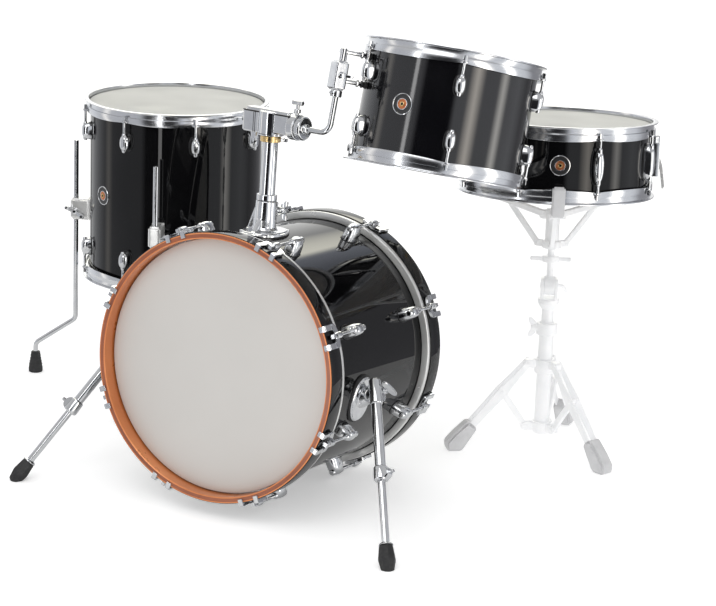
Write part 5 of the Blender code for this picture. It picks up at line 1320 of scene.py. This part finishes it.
def basket_arm(number, turn):
    where = BASKET @ place_out(*ARM_PIVOT, turn)
    name = f"basket_arm_{number}"
    seat = BASKET_SEAT - ARM_PIVOT[1]
    lip = SNARE_RADIUS + HOOP_LIP - ARM_PIVOT[0] + GAP
    foot = LINK_FOOT - ARM_PIVOT[0]
    upper = soft([(-0.0045, -0.006), (-0.0045, 0.006), (lip - 0.016, seat - 0.0085),
                  (lip + 0.004, seat - 0.0085), (lip + 0.004, seat - 0.02), (lip - 0.024, seat - 0.02)],
                 0.005, 4)
    link = soft([(foot, -0.056), (foot + 0.002, -0.063), (foot + 0.009, -0.061), (0.078, 0.01),
                 (0.07, 0.016)], 0.003, 4)
    rivet = rivet_at(0.0028, -0.0068, 0.0068, 24, 0.0006, 0.0725, 0, 0.0108)
    arm = joined([slab(upper, BASKET_ARM_HALF, 0.0012), slab(link, BASKET_LINK_HALF, 0.001), rivet])
    stand_in(name, arm, where, name, "pale_metal_painted_glow")
    grip = soft([(lip - 0.018, seat), (lip - 0.018, seat - 0.022), (lip + 0.0135, seat - 0.022),
                 (lip + 0.014, seat + 0.03), (lip + 0.008, seat + 0.036), (lip + 0.003, seat + 0.0345),
                 (lip, seat + 0.028), (lip, seat)], 0.004, 5)
    piece(f"basket_grip_{number}", slab(grip, GRIP_WIDTH / 2, 0.0035), where, name, "pale_rubber")


# Studio

def paper(name, dark, light, glow):
    """Matt paper between two greys, with a glow of its own."""
    return textured(name, (dark,) * 3, (light,) * 3, (0.7, 0.9), blotch=2, Emission_Color=(1, 1, 1, 1),
                    Emission_Strength=glow)


def sky():
    """Reflections see the studio itself: pale sides and a dark middle."""
    world = bpy.data.worlds.new("studio")
    world.use_nodes = True
    tree = world.node_tree
    tree.nodes.clear()
    where = shader(tree, "TexCoord", {}).outputs["Generated"]
    split = shader(tree, "SeparateXYZ", {"Vector": where}).outputs
    around = shader(tree, "Math", {0: split["Y"], 1: split["X"]})
    around.operation = "ARCTAN2"
    turn = shader(tree, "MapRange", {"From Min": -pi, "From Max": pi, "Value": around.outputs["Value"]})
    rise = shader(tree, "MapRange", {"From Min": -1, "Value": split["Z"]})

    def seen_at(share, stops):
        stops = [(at, [c / SKY_PEAK for c in colour]) for at, colour in stops]
        return ramp(tree, share.outputs["Result"], stops)

    sides, ceiling = [seen_at(turn, [((azimuth + 180) / 360, colour) for azimuth, colour in stops])
                      for stops in (SIDE_STOPS, CEILING_STOPS)]
    height = seen_at(rise, [((level + 1) / 2, (SKY_PEAK * share,) * 3) for level, share in RISE_STOPS])
    mixed = tree.nodes.new("ShaderNodeMix")
    mixed.data_type = "RGBA"
    fill(tree, mixed, {"Factor": height, 6: sides, 7: ceiling})
    seen = shader(tree, "Background", {"Color": mixed.outputs[2], "Strength": SKY_PEAK})
    even = shader(tree, "Background", {"Color": (1, 1, 1, 1), "Strength": SKY_EVEN})
    glossy = shader(tree, "LightPath", {}).outputs["Is Glossy Ray"]
    both = shader(tree, "MixShader", {"Fac": glossy, 1: even.outputs["Background"],
                                      2: seen.outputs["Background"]})
    shader(tree, "OutputWorld", {"Surface": both.outputs["Shader"]})
    bpy.context.scene.world = world


def softbox(name, location, target, size, power, lights_all):
    data = bpy.data.lights.new(name, "AREA")
    data.shape = "RECTANGLE"
    data.size, data.size_y = size
    data.energy = power
    made = linked(name, data)
    made.location = location
    made.rotation_euler = (Vector(target) - Vector(location)).to_track_quat("-Z", "Y").to_euler()
    made.visible_camera = False
    made.visible_diffuse = lights_all


def studio():
    """A pale floor, a sheet on it that only reflections see, the sky, a strip light and the key light."""
    shape = bmesh.new()
    bmesh.ops.create_grid(shape, x_segments=8, y_segments=8, size=STUDIO_SIZE)
    floor = linked("studio_floor", mesh_of(shape, "studio_floor"))
    floor.location.z = -0.0002
    floor.visible_glossy = False
    floor.data.materials.append(paper("floor_paper", 0.9, 0.93, FLOOR_GLOW))
    sheet = linked("studio_sheet", mesh_of(cylinder(SHEET_RADIUS, -0.0001, -0.0006, 64, 0), "studio_sheet"))
    sheet.visible_camera = sheet.visible_diffuse = sheet.visible_shadow = False
    sheet.data.materials.append(paper("sheet_paper", 0.8, 0.84, SHEET_GLOW))
    sky()
    softbox("strip_left", *STRIP_LIGHT)
    softbox("key_box", *KEY_LIGHT)


def camera():
    data = bpy.data.cameras.new("camera")
    data.lens = CAMERA_LENS
    data.sensor_width = 36
    data.sensor_fit = "HORIZONTAL"
    data.clip_end = 100
    made = linked("camera", data)
    level = Vector((cos(CAMERA_YAW), sin(CAMERA_YAW), 0))
    ahead = Vector((-sin(CAMERA_YAW) * cos(CAMERA_PITCH), cos(CAMERA_YAW) * cos(CAMERA_PITCH),
                    -sin(CAMERA_PITCH)))
    upright = level.cross(ahead)
    right = level * cos(CAMERA_ROLL) + upright * sin(CAMERA_ROLL)
    up = upright * cos(CAMERA_ROLL) - level * sin(CAMERA_ROLL)
    turn = Matrix((right, up, -ahead)).transposed().to_4x4()
    made.matrix_world = Matrix.Translation(KIT @ Vector(CAMERA_PLACE)) @ turn
    bpy.context.scene.camera = made


bass_drum()
spur(1, "right")
spur(-1, "left")
tom_mount()
floor_tom()
snare_drum()
stand()
studio()
camera()
bpy.context.scene.view_settings.view_transform = "Standard"
